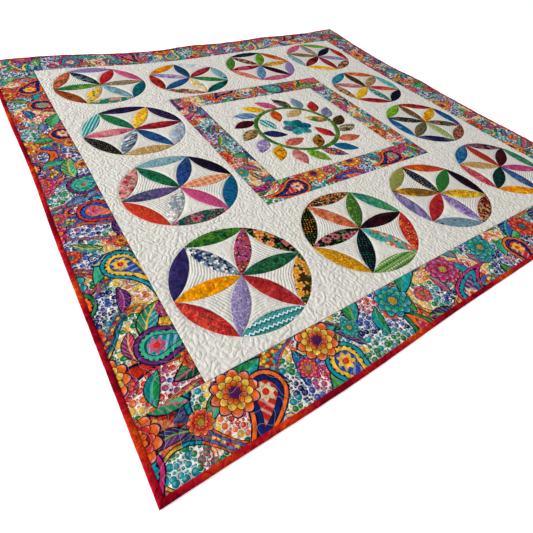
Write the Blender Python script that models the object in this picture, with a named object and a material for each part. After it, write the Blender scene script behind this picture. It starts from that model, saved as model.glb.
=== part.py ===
"""An applique quilt lying on a flat surface: metres, +Z up, the origin at the middle of its footprint.

The quilt's own flat pattern is drawn in u (left to right) and v (near to far). lay() then puts each
point of the pattern where the cloth really lies, with its soft swells and slightly drawn-in edges.
"""

import math

import bpy
import numpy as np

# The pattern, from a 12 inch finished block.
BLOCK = 0.3048
FIELD_HALF = 0.6172
FRAME_OUTER_HALF = 0.2975
FRAME_INNER_HALF = 0.2213
QUILT_HALF = 0.7360
BINDING_WIDTH = 0.0095

# The layers, from the surface upwards.
SEAM_GAP = 0.0003
LAYER_GAP = 0.0003
APPLIQUE_GAP = 0.0004
PADDING_THICK = 0.0026
TOP_THICK = 0.0010
APPLIQUE_THICK = 0.0010
BINDING_THICK = 0.0046
BINDING_LOWER_ROUND = 0.0013
BINDING_UPPER_ROUND = 0.0020
TOP_LEVEL = PADDING_THICK + LAYER_GAP
APPLIQUE_LEVEL = TOP_LEVEL + TOP_THICK + APPLIQUE_GAP

# Applique wheels: six petals from the middle to the rim, and six along the rim.
WHEEL_RADIUS = 0.1377
WHEEL_PETALS = 6
PETAL_STEPS = 4
PETAL_NECK = 0.0022
GAP_HEART = 0.45

# The wreath in the middle.
STEM_RADIUS = 0.1303
STEM_WIDTH = 0.0137
STEM_STEPS = 30
WREATH_MIDDLE = (-0.0015, -0.0075)
LEAF_STEPS = 5
LEAF_SKEW = 0.85
OUTER_LEAF_LENGTH = 0.0800
OUTER_LEAF_WIDTH = 0.0400
INNER_LEAF_LENGTH = 0.0770
INNER_LEAF_WIDTH = 0.0380
LEAF_CLEARANCE = 0.0006
SEATING_STEPS = 12
FLOWER_RADIUS = 0.0475
FLOWER_NOTCH = 0.62
FLOWER_ROUNDING = 0.6
FLOWER_TURN = -5.0
FLOWER_STEPS = 36

# Where the wheels are sewn: block column and row, angle of the first petal, small turn and shift.
WHEELS = (
    # name, column, row, first petal (degrees), turn (degrees), shift in u and v (metres)
    ("wheel_near_1", 0, 0, 0, -1.0, -0.0030, 0.0005),
    ("wheel_near_2", 1, 0, 0, -0.7, 0.0035, -0.0050),
    ("wheel_near_3", 2, 0, 30, 1.9, 0.0015, 0.0000),
    ("wheel_near_4", 3, 0, 30, 0.0, -0.0010, 0.0040),
    ("wheel_left_1", 0, 1, 0, -1.2, 0.0065, 0.0065),
    ("wheel_left_2", 0, 2, 0, -1.9, 0.0055, 0.0055),
    ("wheel_right_1", 3, 1, 30, -1.2, 0.0015, 0.0070),
    ("wheel_right_2", 3, 2, 30, 2.2, 0.0000, 0.0050),
    ("wheel_far_1", 0, 3, 0, -0.9, 0.0030, 0.0125),
    ("wheel_far_2", 1, 3, 30, 1.8, -0.0060, -0.0110),
    ("wheel_far_3", 2, 3, 0, 1.0, 0.0020, 0.0060),
    ("wheel_far_4", 3, 3, 30, 1.5, -0.0030, 0.0120),
)

# Leaves by the angle of their middle round the wreath, and the turn of the leaf from the radius there.
OUTER_LEAVES = (
    # angle, turn (degrees)
    (154, 40), (134, 35), (115, 36), (95, 40), (74, 40), (55, 24), (36, 24), (17, 37), (-4, 43),
    (-22, 34), (-44, 37), (-65, 28), (-83, 40), (-103, 40), (-122, 27), (-142, 24), (-161, 32), (176, 41),
)
INNER_LEAVES = (
    # angle, turn (degrees)
    (148, -40), (-173, -36), (104, -32), (61, -42), (14, -50), (-40, -28), (-81, -46), (-130, -40),
)

# Soft swells that lift the cloth off the surface, all at the far and right sides.
SWELLS = (
    # u, v (middle), reach in u, reach in v, rise (metres)
    (0.620, 0.660, 0.620, 0.550, 0.0130),
    (0.750, 0.750, 0.200, 0.220, 0.0110),
    (-0.620, 0.760, 0.340, 0.400, 0.0080),
    (-0.030, 0.770, 0.150, 0.160, 0.0060),
    (0.330, 0.780, 0.120, 0.160, 0.0040),
    (0.770, 0.130, 0.160, 0.160, 0.0055),
    (0.780, -0.330, 0.120, 0.160, 0.0035),
)

# Places where the quilt has drawn in or spread in its own plane.
DRAWS = (
    # u, v (middle), reach in u, reach in v, move in u, move in v (metres)
    (-0.180, 0.740, 0.360, 0.480, 0.0000, -0.0200),
    (0.740, -0.330, 0.300, 0.340, -0.0110, 0.0000),
    (0.740, 0.380, 0.240, 0.260, -0.0060, 0.0000),
    (-0.740, 0.060, 0.300, 0.300, 0.0040, 0.0000),
    (-0.420, -0.740, 0.330, 0.200, 0.0000, -0.0050),
)

# Grid lines of one half of the pattern: coarse where the cloth lies flat, fine where it swells.
FLAT_SIDE_CELLS = {"centre": 2, "frame": 1, "field": 4, "border": 1}
SWELL_SIDE_CELLS = {"centre": 3, "frame": 1, "field": 5, "border": 3}
BODY_HALF = QUILT_HALF - BINDING_WIDTH - SEAM_GAP
SAME_LINE = 1e-9

COTTON_WHITE = (0.86, 0.84, 0.79)
PRINT_ON_WHITE = (0.45, 0.22, 0.36)
BATIK_RED = (0.52, 0.05, 0.06)
STEM_GREEN = (0.10, 0.24, 0.05)
FLOWER_TEAL = (0.04, 0.33, 0.36)
BACKING_CREAM = (0.80, 0.77, 0.70)
WHEEL_COLOURS = (
    (0.72, 0.32, 0.03), (0.03, 0.03, 0.03), (0.24, 0.08, 0.42), (0.40, 0.05, 0.04),
    (0.17, 0.10, 0.30), (0.03, 0.10, 0.42), (0.03, 0.16, 0.45), (0.03, 0.26, 0.42),
    (0.03, 0.28, 0.08), (0.42, 0.05, 0.04), (0.55, 0.20, 0.05), (0.50, 0.04, 0.10),
)
LEAF_COLOURS = (
    (0.10, 0.01, 0.03), (0.05, 0.16, 0.48), (0.72, 0.48, 0.03), (0.66, 0.08, 0.34), (0.05, 0.07, 0.05),
    (0.22, 0.44, 0.54), (0.42, 0.04, 0.04), (0.38, 0.36, 0.52), (0.06, 0.03, 0.02), (0.28, 0.10, 0.12),
    (0.62, 0.20, 0.10), (0.02, 0.21, 0.45), (0.36, 0.10, 0.26), (0.20, 0.46, 0.04), (0.62, 0.16, 0.30),
    (0.52, 0.28, 0.02), (0.34, 0.18, 0.50), (0.24, 0.18, 0.10),
)


def clear_scene():
    for obj in list(bpy.data.objects):
        bpy.data.objects.remove(obj, do_unlink=True)


def cloth_material(name, colour):
    material = bpy.data.materials.new(name)
    material.use_nodes = True
    shader = material.node_tree.nodes["Principled BSDF"]
    shader.inputs["Base Color"].default_value = (*colour, 1.0)
    shader.inputs["Roughness"].default_value = 0.85
    shader.inputs["Metallic"].default_value = 0.0
    return material


def soft_bump(u, v, at_u, at_v, reach_u, reach_v):
    """A squared cosine in each direction: 1 in its middle, and smoothly 0 at its reach and beyond."""
    across = np.clip(np.abs(u - at_u) / reach_u, 0.0, 1.0)
    along = np.clip(np.abs(v - at_v) / reach_v, 0.0, 1.0)
    return (np.cos(0.5 * math.pi * across) * np.cos(0.5 * math.pi * along)) ** 2


def drawn(u, v):
    """The pattern's points moved in its own plane by DRAWS."""
    x = u.copy()
    y = v.copy()
    for at_u, at_v, reach_u, reach_v, move_u, move_v in DRAWS:
        amount = soft_bump(u, v, at_u, at_v, reach_u, reach_v)
        x = x + move_u * amount
        y = y + move_v * amount
    return x, y


def outline_middle():
    """The middle of the quilt's bounding box after DRAWS, so that the origin can be put there."""
    along = grid_lines(QUILT_HALF)
    edge = np.full_like(along, QUILT_HALF)
    u = np.concatenate([along, along, edge, -edge])
    v = np.concatenate([edge, -edge, along, along])
    x, y = drawn(u, v)
    return 0.5 * (x.min() + x.max()), 0.5 * (y.min() + y.max())


def rise(u, v):
    height = np.zeros_like(u)
    for at_u, at_v, reach_u, reach_v, top in SWELLS:
        height = height + top * soft_bump(u, v, at_u, at_v, reach_u, reach_v)
    return height


def lay(u, v, level):
    """Where a point of the pattern lies, level above the quilt's underside."""
    x, y = drawn(u, v)
    return np.stack([x - MIDDLE[0], y - MIDDLE[1], rise(u, v) + level], axis=-1)


def grid_lines(outer_edge):
    """Grid lines across the whole quilt, which every layer shares so that the layers lie parallel."""

    def side(cells):
        stops = (
            (0.0, FRAME_INNER_HALF, cells["centre"]),
            (FRAME_INNER_HALF, FRAME_OUTER_HALF, cells["frame"]),
            (FRAME_OUTER_HALF, FIELD_HALF, cells["field"]),
            (FIELD_HALF, outer_edge, cells["border"]),
        )
        pieces = [np.linspace(low, high, count + 1)[1:] for low, high, count in stops]
        return np.concatenate(pieces)

    return np.concatenate([-side(FLAT_SIDE_CELLS)[::-1], [0.0], side(SWELL_SIDE_CELLS)])


def between(lines, low, high, low_inset, high_inset):
    """The grid lines from low to high, with the two end lines moved inwards by half a seam each."""
    kept = lines[(lines >= low - SAME_LINE) & (lines <= high + SAME_LINE)].copy()
    kept[0] = kept[0] + low_inset
    kept[-1] = kept[-1] - high_inset
    return kept


def patch(u_lines, v_lines, hole_half=0.0):
    """Points and triangles of a grid, all cells cut the same way, without those inside a square hole."""
    u, v = np.meshgrid(u_lines, v_lines, indexing="ij")
    rows = len(v_lines)
    i, j = np.meshgrid(np.arange(len(u_lines) - 1), np.arange(rows - 1), indexing="ij")
    i = i.ravel()
    j = j.ravel()
    middle_u = 0.5 * (u_lines[i] + u_lines[i + 1])
    middle_v = 0.5 * (v_lines[j] + v_lines[j + 1])
    kept = np.maximum(np.abs(middle_u), np.abs(middle_v)) > hole_half
    corner = (i * rows + j)[kept]
    first = np.stack([corner, corner + rows, corner + rows + 1], axis=1)
    second = np.stack([corner, corner + rows + 1, corner + 1], axis=1)
    return u.ravel(), v.ravel(), np.concatenate([first, second])


def add_mesh(name, points, faces, material):
    mesh = bpy.data.meshes.new(name)
    mesh.from_pydata(points.tolist(), [], faces)
    mesh.update()
    mesh.materials.append(material)
    obj = bpy.data.objects.new(name, mesh)
    bpy.context.scene.collection.objects.link(obj)
    return obj


def sheet(name, u, v, triangles, level, thick, material):
    """A closed sheet: the triangles on top, the same turned over below, and a wall along each free edge."""
    used, renumbered = np.unique(triangles, return_inverse=True)
    triangles = renumbered.reshape(triangles.shape)
    u = u[used]
    v = v[used]
    count = len(used)
    points = np.concatenate([lay(u, v, level), lay(u, v, level + thick)])
    directed = np.concatenate([triangles[:, [0, 1]], triangles[:, [1, 2]], triangles[:, [2, 0]]])
    one_way = {tuple(edge) for edge in directed.tolist()}
    free = [edge for edge in sorted(one_way) if (edge[1], edge[0]) not in one_way]
    faces = (triangles + count).tolist() + triangles[:, ::-1].tolist()
    for a, b in free:
        faces.append([a, b, b + count])
        faces.append([a, b + count, a + count])
    return add_mesh(name, points, faces, material)


def quilted_padding(lines):
    """The backing with its batting, one slab under everything but the binding."""
    across = between(lines, -BODY_HALF, BODY_HALF, 0.0, 0.0)
    u, v, triangles = patch(across, across)
    sheet("quilt_body", u, v, triangles, 0.0, PADDING_THICK, cloth_material("backing", BACKING_CREAM))


def background(lines):
    """The ring of white background blocks, and the white square in the middle."""
    white = cloth_material("white_cotton", COTTON_WHITE)
    half_seam = 0.5 * SEAM_GAP
    across = between(lines, -FIELD_HALF, FIELD_HALF, half_seam, half_seam)
    across[np.isclose(across, FRAME_OUTER_HALF)] += half_seam
    across[np.isclose(across, -FRAME_OUTER_HALF)] -= half_seam
    u, v, triangles = patch(across, across, FRAME_OUTER_HALF)
    sheet("background_blocks", u, v, triangles, TOP_LEVEL, TOP_THICK, white)
    across = between(lines, -FRAME_INNER_HALF, FRAME_INNER_HALF, half_seam, half_seam)
    u, v, triangles = patch(across, across)
    sheet("middle_square", u, v, triangles, TOP_LEVEL, TOP_THICK, white)


def strips(prefix, lines, inner_half, outer_half, outer_inset, material):
    """Four strips round a square: the near and far ones run the whole width, the others between them."""
    half_seam = 0.5 * SEAM_GAP
    whole = between(lines, -outer_half, outer_half, outer_inset, outer_inset)
    inner = between(lines, -inner_half, inner_half, half_seam, half_seam)
    low = between(lines, -outer_half, -inner_half, outer_inset, half_seam)
    high = between(lines, inner_half, outer_half, half_seam, outer_inset)
    for side, u_lines, v_lines in (
        ("near", whole, low),
        ("far", whole, high),
        ("left", low, inner),
        ("right", high, inner),
    ):
        u, v, triangles = patch(u_lines, v_lines)
        sheet(f"{prefix}_{side}", u, v, triangles, TOP_LEVEL, TOP_THICK, material)


def binding(lines):
    """Four strips of binding with a rounded outer edge, mitred at the corners and down on the surface."""
    red = cloth_material("binding_batik", BATIK_RED)
    inner = QUILT_HALF - BINDING_WIDTH
    profile = (
        # distance out from the quilt's middle, level
        (inner, 0.0),
        (QUILT_HALF - BINDING_LOWER_ROUND, 0.0),
        (QUILT_HALF, BINDING_LOWER_ROUND),
        (QUILT_HALF, BINDING_THICK - BINDING_UPPER_ROUND),
        (QUILT_HALF - BINDING_UPPER_ROUND, BINDING_THICK),
        (inner, BINDING_THICK),
    )
    stations = len(lines)
    ring = len(profile)
    mitre_gap = 0.5 * SEAM_GAP * math.sqrt(2.0)
    for side, turns in (("near", 0), ("right", 1), ("far", 2), ("left", 3)):
        loops = []
        for out, level in profile:
            along = lines.copy() if turns in (0, 1) else -lines[::-1]
            along[0] = -(out - mitre_gap)
            along[-1] = out - mitre_gap
            along = np.clip(along, -(out - mitre_gap), out - mitre_gap)
            away = np.full(stations, -out)
            u, v = along, away
            for _ in range(turns):
                u, v = -v, u
            loops.append(lay(u, v, level))
        points = np.stack(loops, axis=1).reshape(-1, 3)
        faces = []
        for station in range(stations - 1):
            for k in range(ring):
                a = station * ring + k
                b = station * ring + (k + 1) % ring
                faces.append([a, a + ring, b + ring, b])
        last = (stations - 1) * ring
        faces.append(list(range(ring)))
        faces.append([last + k for k in reversed(range(ring))])
        add_mesh(f"binding_{side}", points, faces, red)


def wheel(name, at_u, at_v, first_petal, material):
    """Twelve petals that meet at their tips. Every arc has the wheel's own radius, as a compass draws it."""
    turn = 2.0 * math.pi / WHEEL_PETALS
    first = math.radians(first_petal)
    steps = PETAL_STEPS
    points = []

    def put(point):
        points.append(point)
        return len(points) - 1

    def arc(centre, start, end, radius):
        """Points of the shorter arc about centre from the direction start to the direction end."""
        sweep = (end - start + math.pi) % (2.0 * math.pi) - math.pi
        angles = start + sweep * np.arange(steps + 1) / steps
        return [(centre[0] + radius * math.cos(a), centre[1] + radius * math.sin(a)) for a in angles]

    rim = []
    for k in range(WHEEL_PETALS):
        centre_line = arc((0.0, 0.0), first + k * turn, first + (k + 1) * turn, WHEEL_RADIUS)
        rim.append([put(point) for point in centre_line[:-1]])
    gaps = []
    for k in range(WHEEL_PETALS):
        low = first + k * turn
        high = low + turn
        tip_low = (WHEEL_RADIUS * math.cos(low), WHEEL_RADIUS * math.sin(low))
        tip_high = (WHEEL_RADIUS * math.cos(high), WHEEL_RADIUS * math.sin(high))
        tip_before = (WHEEL_RADIUS * math.cos(low - turn), WHEEL_RADIUS * math.sin(low - turn))
        tip_after = (WHEEL_RADIUS * math.cos(high + turn), WHEEL_RADIUS * math.sin(high + turn))
        middle = 0.5 * (low + high)
        far = (
            2.0 * WHEEL_RADIUS * math.cos(0.5 * turn) * math.cos(middle),
            2.0 * WHEEL_RADIUS * math.cos(0.5 * turn) * math.sin(middle),
        )
        side_low = arc(tip_before, low - turn + math.pi, low + turn, WHEEL_RADIUS)
        side_high = arc(tip_after, high + turn + math.pi, high - turn, WHEEL_RADIUS)
        outer = arc(far, middle + math.pi + 0.5 * turn, middle + math.pi - 0.5 * turn, WHEEL_RADIUS)
        heart_radius = GAP_HEART * WHEEL_RADIUS
        heart = (heart_radius * math.cos(middle), heart_radius * math.sin(middle))

        def drawn_in(point):
            """The gap's outline a little smaller, so that the petals join at their tips."""
            reach = math.hypot(point[0] - heart[0], point[1] - heart[1])
            part = PETAL_NECK * (reach / (0.5 * WHEEL_RADIUS)) ** 4 / reach
            return (point[0] + part * (heart[0] - point[0]), point[1] + part * (heart[1] - point[1]))

        at_hub = put(drawn_in((0.0, 0.0)))
        at_low = put(drawn_in(tip_low))
        at_high = put(drawn_in(tip_high))
        gaps.append(
            {
                "hub": at_hub,
                "low": [at_hub, *[put(drawn_in(point)) for point in side_low[1:-1]], at_low],
                "high": [at_hub, *[put(drawn_in(point)) for point in side_high[1:-1]], at_high],
                "rim": [at_low, *[put(drawn_in(point)) for point in outer[1:-1]], at_high],
            }
        )

    triangles = []
    for k in range(WHEEL_PETALS):
        gap = gaps[k]
        before = gaps[k - 1]
        for s in range(steps):
            right = before["high"]
            left = gap["low"]
            triangles.append((right[s], right[s + 1], left[s + 1]))
            triangles.append((right[s], left[s + 1], left[s]))
        rim_points = rim[k] + [rim[(k + 1) % WHEEL_PETALS][0]]
        inner_points = gap["rim"]
        for s in range(steps):
            triangles.append((inner_points[s], rim_points[s], rim_points[s + 1]))
            triangles.append((inner_points[s], rim_points[s + 1], inner_points[s + 1]))
        triangles.append((before["high"][-1], rim[k][0], gap["low"][-1]))
    hubs = [gap["hub"] for gap in gaps]
    for k in range(1, WHEEL_PETALS - 1):
        triangles.append((hubs[0], hubs[k], hubs[k + 1]))
    flat = np.array(points)
    sheet(
        name,
        flat[:, 0] + at_u,
        flat[:, 1] + at_v,
        np.array(triangles),
        APPLIQUE_LEVEL,
        APPLIQUE_THICK,
        material,
    )


def wheels():
    for (name, column, row, first_petal, turn, shift_u, shift_v), colour in zip(WHEELS, WHEEL_COLOURS):
        at_u = (column - 1.5) * BLOCK + shift_u
        at_v = (row - 1.5) * BLOCK + shift_v
        wheel(name, at_u, at_v, first_petal + turn, cloth_material(f"{name}_cottons", colour))


def leaf(name, middle_angle, turn, outwards, length, width, material):
    """A leaf with a rounded foot and a pointed tip: its half width is a skewed sine along its length.

    Its tip points out of the stem ring (outwards 1) or into it (-1), and it is moved along the radius
    until its outline just clears the stem.
    """
    along = np.linspace(0.0, 1.0, LEAF_STEPS + 1)
    half_width = 0.5 * width * np.sin(math.pi * along**LEAF_SKEW) ** LEAF_SKEW
    half_width[[0, -1]] = 0.0
    there = np.concatenate([along - 0.5, along[1:-1] - 0.5]) * length
    aside = np.concatenate([half_width, -half_width[1:-1]])
    angle = math.radians(middle_angle)
    heading = angle + math.radians(turn) + (0.0 if outwards > 0 else math.pi)
    u = there * math.cos(heading) - aside * math.sin(heading)
    v = there * math.sin(heading) + aside * math.cos(heading)
    order = np.concatenate([np.arange(LEAF_STEPS + 1), np.arange(len(u) - 1, LEAF_STEPS, -1)])
    limit = STEM_RADIUS + outwards * (0.5 * STEM_WIDTH + LEAF_CLEARANCE)
    reach = STEM_RADIUS + outwards * 0.5 * length
    for _ in range(SEATING_STEPS):
        x = u[order] + reach * math.cos(angle)
        y = v[order] + reach * math.sin(angle)
        middles = np.hypot(0.5 * (x + np.roll(x, 1)), 0.5 * (y + np.roll(y, 1)))
        radii = np.concatenate([np.hypot(x, y), middles])
        reach += limit - outwards * (outwards * radii).min()
    u = u + WREATH_MIDDLE[0] + reach * math.cos(angle)
    v = v + WREATH_MIDDLE[1] + reach * math.sin(angle)
    foot = 0
    tip = LEAF_STEPS
    triangles = [(foot, tip + 1, 1)]
    for s in range(1, LEAF_STEPS - 1):
        triangles.append((s, tip + s, tip + s + 1))
        triangles.append((s, tip + s + 1, s + 1))
    triangles.append((tip - 1, 2 * LEAF_STEPS - 1, tip))
    sheet(name, u, v, np.array(triangles), APPLIQUE_LEVEL, APPLIQUE_THICK, material)


def stem():
    """The green stem, a flat ring."""
    angles = 2.0 * math.pi * np.arange(STEM_STEPS) / STEM_STEPS
    inner = STEM_RADIUS - 0.5 * STEM_WIDTH
    outer = STEM_RADIUS + 0.5 * STEM_WIDTH
    u = np.concatenate([inner * np.cos(angles), outer * np.cos(angles)]) + WREATH_MIDDLE[0]
    v = np.concatenate([inner * np.sin(angles), outer * np.sin(angles)]) + WREATH_MIDDLE[1]
    here = np.arange(STEM_STEPS)
    after = (here + 1) % STEM_STEPS
    first = np.stack([here, here + STEM_STEPS, after + STEM_STEPS], axis=1)
    second = np.stack([here, after + STEM_STEPS, after], axis=1)
    sheet(
        "wreath_stem",
        u,
        v,
        np.concatenate([first, second]),
        APPLIQUE_LEVEL,
        APPLIQUE_THICK,
        cloth_material("stem_green", STEM_GREEN),
    )


def flower():
    """A six-petalled flower: its radius swings between the petal tips and the notches between them."""
    angles = 2.0 * math.pi * np.arange(FLOWER_STEPS) / FLOWER_STEPS
    swing = np.abs(np.cos(0.5 * WHEEL_PETALS * (angles - math.radians(FLOWER_TURN))))
    radius = FLOWER_RADIUS * (FLOWER_NOTCH + (1.0 - FLOWER_NOTCH) * swing**FLOWER_ROUNDING)
    u = np.concatenate([[0.0], radius * np.cos(angles)]) + WREATH_MIDDLE[0]
    v = np.concatenate([[0.0], radius * np.sin(angles)]) + WREATH_MIDDLE[1]
    here = np.arange(FLOWER_STEPS)
    after = (here + 1) % FLOWER_STEPS
    triangles = np.stack([np.zeros_like(here), here + 1, after + 1], axis=1)
    material = cloth_material("flower_teal", FLOWER_TEAL)
    sheet("wreath_flower", u, v, triangles, APPLIQUE_LEVEL, APPLIQUE_THICK, material)


def wreath():
    stem()
    flower()
    for k, (angle, turn) in enumerate(OUTER_LEAVES):
        material = cloth_material(f"outer_leaf_cotton_{k + 1}", LEAF_COLOURS[k])
        leaf(
            f"outer_leaf_{k + 1:02d}",
            angle,
            turn,
            1,
            OUTER_LEAF_LENGTH,
            OUTER_LEAF_WIDTH,
            material,
        )
    for k, (angle, turn) in enumerate(INNER_LEAVES):
        material = cloth_material(f"inner_leaf_cotton_{k + 1}", LEAF_COLOURS[k])
        leaf(
            f"inner_leaf_{k + 1}",
            angle,
            turn,
            -1,
            INNER_LEAF_LENGTH,
            INNER_LEAF_WIDTH,
            material,
        )


def build():
    lines = grid_lines(BODY_HALF)
    quilted_padding(lines)
    background(lines)
    print_cotton = cloth_material("print_cotton", PRINT_ON_WHITE)
    strips("frame", lines, FRAME_INNER_HALF, FRAME_OUTER_HALF, 0.5 * SEAM_GAP, print_cotton)
    strips("border", lines, FIELD_HALF, BODY_HALF, 0.0, print_cotton)
    binding(grid_lines(QUILT_HALF))
    wheels()
    wreath()


clear_scene()
MIDDLE = outline_middle()
build()
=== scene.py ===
"""The looks of the applique quilt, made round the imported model.

All lengths are metres. u and v are places on the quilt's flat pattern, from left to right and from near to
far. lay() puts them where the cloth really lies, with its soft swells and slightly drawn-in edges.
"""

import math

import bpy
import numpy as np
from mathutils import Matrix


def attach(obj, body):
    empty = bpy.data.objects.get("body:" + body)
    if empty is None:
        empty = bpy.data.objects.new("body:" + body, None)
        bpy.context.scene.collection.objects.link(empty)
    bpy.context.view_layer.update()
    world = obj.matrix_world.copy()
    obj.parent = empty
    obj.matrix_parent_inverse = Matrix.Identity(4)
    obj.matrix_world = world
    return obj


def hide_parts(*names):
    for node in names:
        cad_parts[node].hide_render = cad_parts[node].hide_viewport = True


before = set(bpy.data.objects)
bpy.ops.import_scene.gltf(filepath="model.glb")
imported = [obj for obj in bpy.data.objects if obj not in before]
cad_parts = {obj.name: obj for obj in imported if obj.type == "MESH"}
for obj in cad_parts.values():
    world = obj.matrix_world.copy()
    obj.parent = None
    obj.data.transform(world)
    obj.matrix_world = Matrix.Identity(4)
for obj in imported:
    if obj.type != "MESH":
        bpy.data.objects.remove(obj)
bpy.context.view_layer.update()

FULL_TURN = 2.0 * math.pi
SIXTH = math.pi / 3.0

# The flat pattern, from a 12 inch finished block.
BLOCK = 0.3048
FIELD_HALF = 0.6172
FRAME_OUTER_HALF = 0.2975
FRAME_INNER_HALF = 0.2213
QUILT_HALF = 0.7360
BINDING_WIDTH = 0.0095
SEAM_GAP = 0.0003

# Levels above the surface that the quilt lies on.
PADDING_LOW = 0.0002
PADDING_TOP = 0.0017
VALLEY = 0.0028
PUFF = 0.0017
WHEEL_PUFF_SHARE = 0.75
PRINT_PUFF_SHARE = 1.05
SEAM_DROP = 0.0002
SEAM_DROP_REACH = 0.0010
APPLIQUE_BASE = 0.0025
SHOULDER = 0.0010
PETAL_CROWN = 0.0011
LEAF_CROWN = 0.0009

# Quilting: close wandering lines on the white, lines that follow the rim petals in the wheels, wide arcs on
# the print.
MEANDER_WAVE = 0.0175
MEANDER_SEED = 11
ARC_WAVE = 0.0360
ARC_SEED = 5
WAVE_COUNT = 30
WAVE_SPREAD = 0.18
ECHO_SPACING = 0.0060
ECHO_WAVER = 0.0008
ECHO_SEED = 900
VALLEY_REACH = 0.0034
VALLEY_SHARE = 0.46
ARC_REACH = 0.0034
DITCH_REACH = 0.0020
WHEEL_DITCH_REACH = 0.0042
PRINT_EDGE_REACH = 0.0030
SEAM_REACH = 0.0022
SEAM_SHARE = 0.35
STITCH_FAR = 0.006

# The cloth itself.
THREAD_PITCH = 0.0011
COTTON_ROUGHNESS = 0.92

# How finely each piece is cut up.
BLOCK_CELLS = 138
MIDDLE_CELLS = 192
PRINT_CELL = 0.0030
PETAL_ROWS = 22
PETAL_COLUMNS = 5
BINDING_STATIONS = 420
STEM_STATIONS = 220
PADDING_CELLS = 56

# How far the padding stops short of the edge, and how far the border reaches under the binding.
PADDING_INSET = 0.0022
BORDER_TUCK = 0.0012

# Where along the print the first strip of the frame and of the border is cut, how far along and across each
# next one is cut, and the width of the print's clamshells.
FRAME_CUT = 20.0
BORDER_CUT = 0.0
NEXT_CUT = (1.7, 0.13)
SHELL_WIDTH = 0.0170

# How much the slow and the quick waves lift a rough binding and move it sideways, the level above which it
# is free to move, and its sides.
BINDING_LIFTS = (0.00018, 0.00014)
BINDING_SWAYS = (0.00022, 0.00012)
BINDING_FREE_LEVEL = 0.003
BINDING_SIDES = (
    # side, which way and from where the batik is read along it, and how rough the strip is
    ("near", 1.0, 0.30, 0.55),
    ("right", 1.0, 2.0, 1.0),
    ("far", 1.0, 4.0, 1.0),
    ("left", -1.0, 0.69, 0.55),
)

# The dyes that a cloth has, and the kinds of cloth that lie along a piece, nearly straight.
DYE_LABELS = ("ground", "ink", "accent")
ROW_KINDS = ("zigzag", "stripe", "rows")
ROW_LEAN = 0.12

# Where the random draws of each kind of piece begin.
WHEEL_SEED = 100
LEAF_SEED = 300
FLOWER_SEED = 400
LOBE_SEED = 7
BINDING_SEED = 500

# Applique wheels.
WHEEL_RADIUS = 0.1377
PETAL_FOLD = 0.0011
PETAL_BLUNT = 0.0005
EDGE_WAVER = 0.00030
EDGE_RIPPLE = 0.00016
AXIS_DRIFT = 0.0004
CROWN_LUMPS = 0.00012
FOLD_HEIGHT_SHARE = 0.72
WHEELS = {
    # name: column, row, first petal and turn (degrees), shift in u and v, and the gaps between petals that
    # have no lines, counted anticlockwise from the first petal
    "near_1": (0, 0, 0, -1.0, -0.0030, 0.0005, (1,)),
    "near_2": (1, 0, 0, -0.7, 0.0035, -0.0050, (4,)),
    "near_3": (2, 0, 30, 1.9, 0.0015, 0.0000, (0, 3)),
    "near_4": (3, 0, 30, 0.0, -0.0010, 0.0040, (2,)),
    "left_1": (0, 1, 0, -1.2, 0.0065, 0.0065, (1, 4)),
    "left_2": (0, 2, 0, -1.9, 0.0055, 0.0055, (5,)),
    "right_1": (3, 1, 30, -1.2, 0.0015, 0.0070, (0,)),
    "right_2": (3, 2, 30, 2.2, 0.0000, 0.0050, (2, 3)),
    "far_1": (0, 3, 0, -0.9, 0.0030, 0.0125, (1, 5)),
    "far_2": (1, 3, 30, 1.8, -0.0060, -0.0110, (4,)),
    "far_3": (2, 3, 0, 1.0, 0.0020, 0.0060, ()),
    "far_4": (3, 3, 30, 1.5, -0.0030, 0.0120, (3,)),
}

# The wreath in the middle.
STEM_RADIUS = 0.1303
STEM_WIDTH = 0.0137
STEM_LIFT = 0.0002
STEM_FULLNESS = 0.56
STEM_SWAYS = (0.0012, 0.0006)
WREATH_MIDDLE = (-0.0015, -0.0075)
LEAF_SKEW = 0.85
LEAF_SEATING_CELLS = 5
LEAF_CLEARANCE = 0.0006
SEATING_STEPS = 12
OUTER_LEAF = (0.0800, 0.0400)
INNER_LEAF = (0.0770, 0.0380)
FLOWER_RADIUS = 0.0475
FLOWER_TURN = -5.0
LOBE_SHOULDER = 0.62
LOBE_STRAY = 4.0
LOBE_REACHES = (1.00, 1.14)
LOBE_FULLNESS = (1.02, 1.16)
OUTER_LEAVES = (
    # angle and turn (degrees), cloth
    (154, 40, "mottle burgundy plum maroon"),
    (134, 35, "stroke sky royal sky"),
    (115, 36, "mottle yellow golden sunflower"),
    (95, 40, "mottle pink magenta orchid"),
    (74, 40, "floral black rose forest"),
    (55, 24, "scroll greyblue deepteal aqua"),
    (36, 24, "batik brick crimson maroon"),
    (17, 37, "stroke slate lavender greyblue"),
    (-4, 43, "speckle chocolate black ochre"),
    (-22, 34, "medley taupe maroon cream"),
    (-44, 37, "mottle salmon rust peach"),
    (-65, 28, "stroke cerulean deepteal royal"),
    (-83, 40, "medley purple orange greyblue"),
    (-103, 40, "mottle lime leaf olive"),
    (-122, 27, "medley salmon pink blush"),
    (-142, 24, "pebble golden ochre yellow"),
    (-161, 32, "batik lavender violet white"),
    (176, 41, "pebble taupe tan brown"),
)
INNER_LEAVES = (
    # angle and turn (degrees), cloth
    (148, -40, "zigzag turquoise white teal"),
    (-173, -36, "mottle navy midnight purple"),
    (104, -32, "batik orange rust brick"),
    (61, -42, "scroll tan ochre cream"),
    (14, -50, "floral moss sunflower tangerine"),
    (-40, -28, "mottle crimson maroon red"),
    (-81, -46, "medley ochre black orange"),
    (-130, -40, "batik salmon crimson blush"),
)
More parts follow.
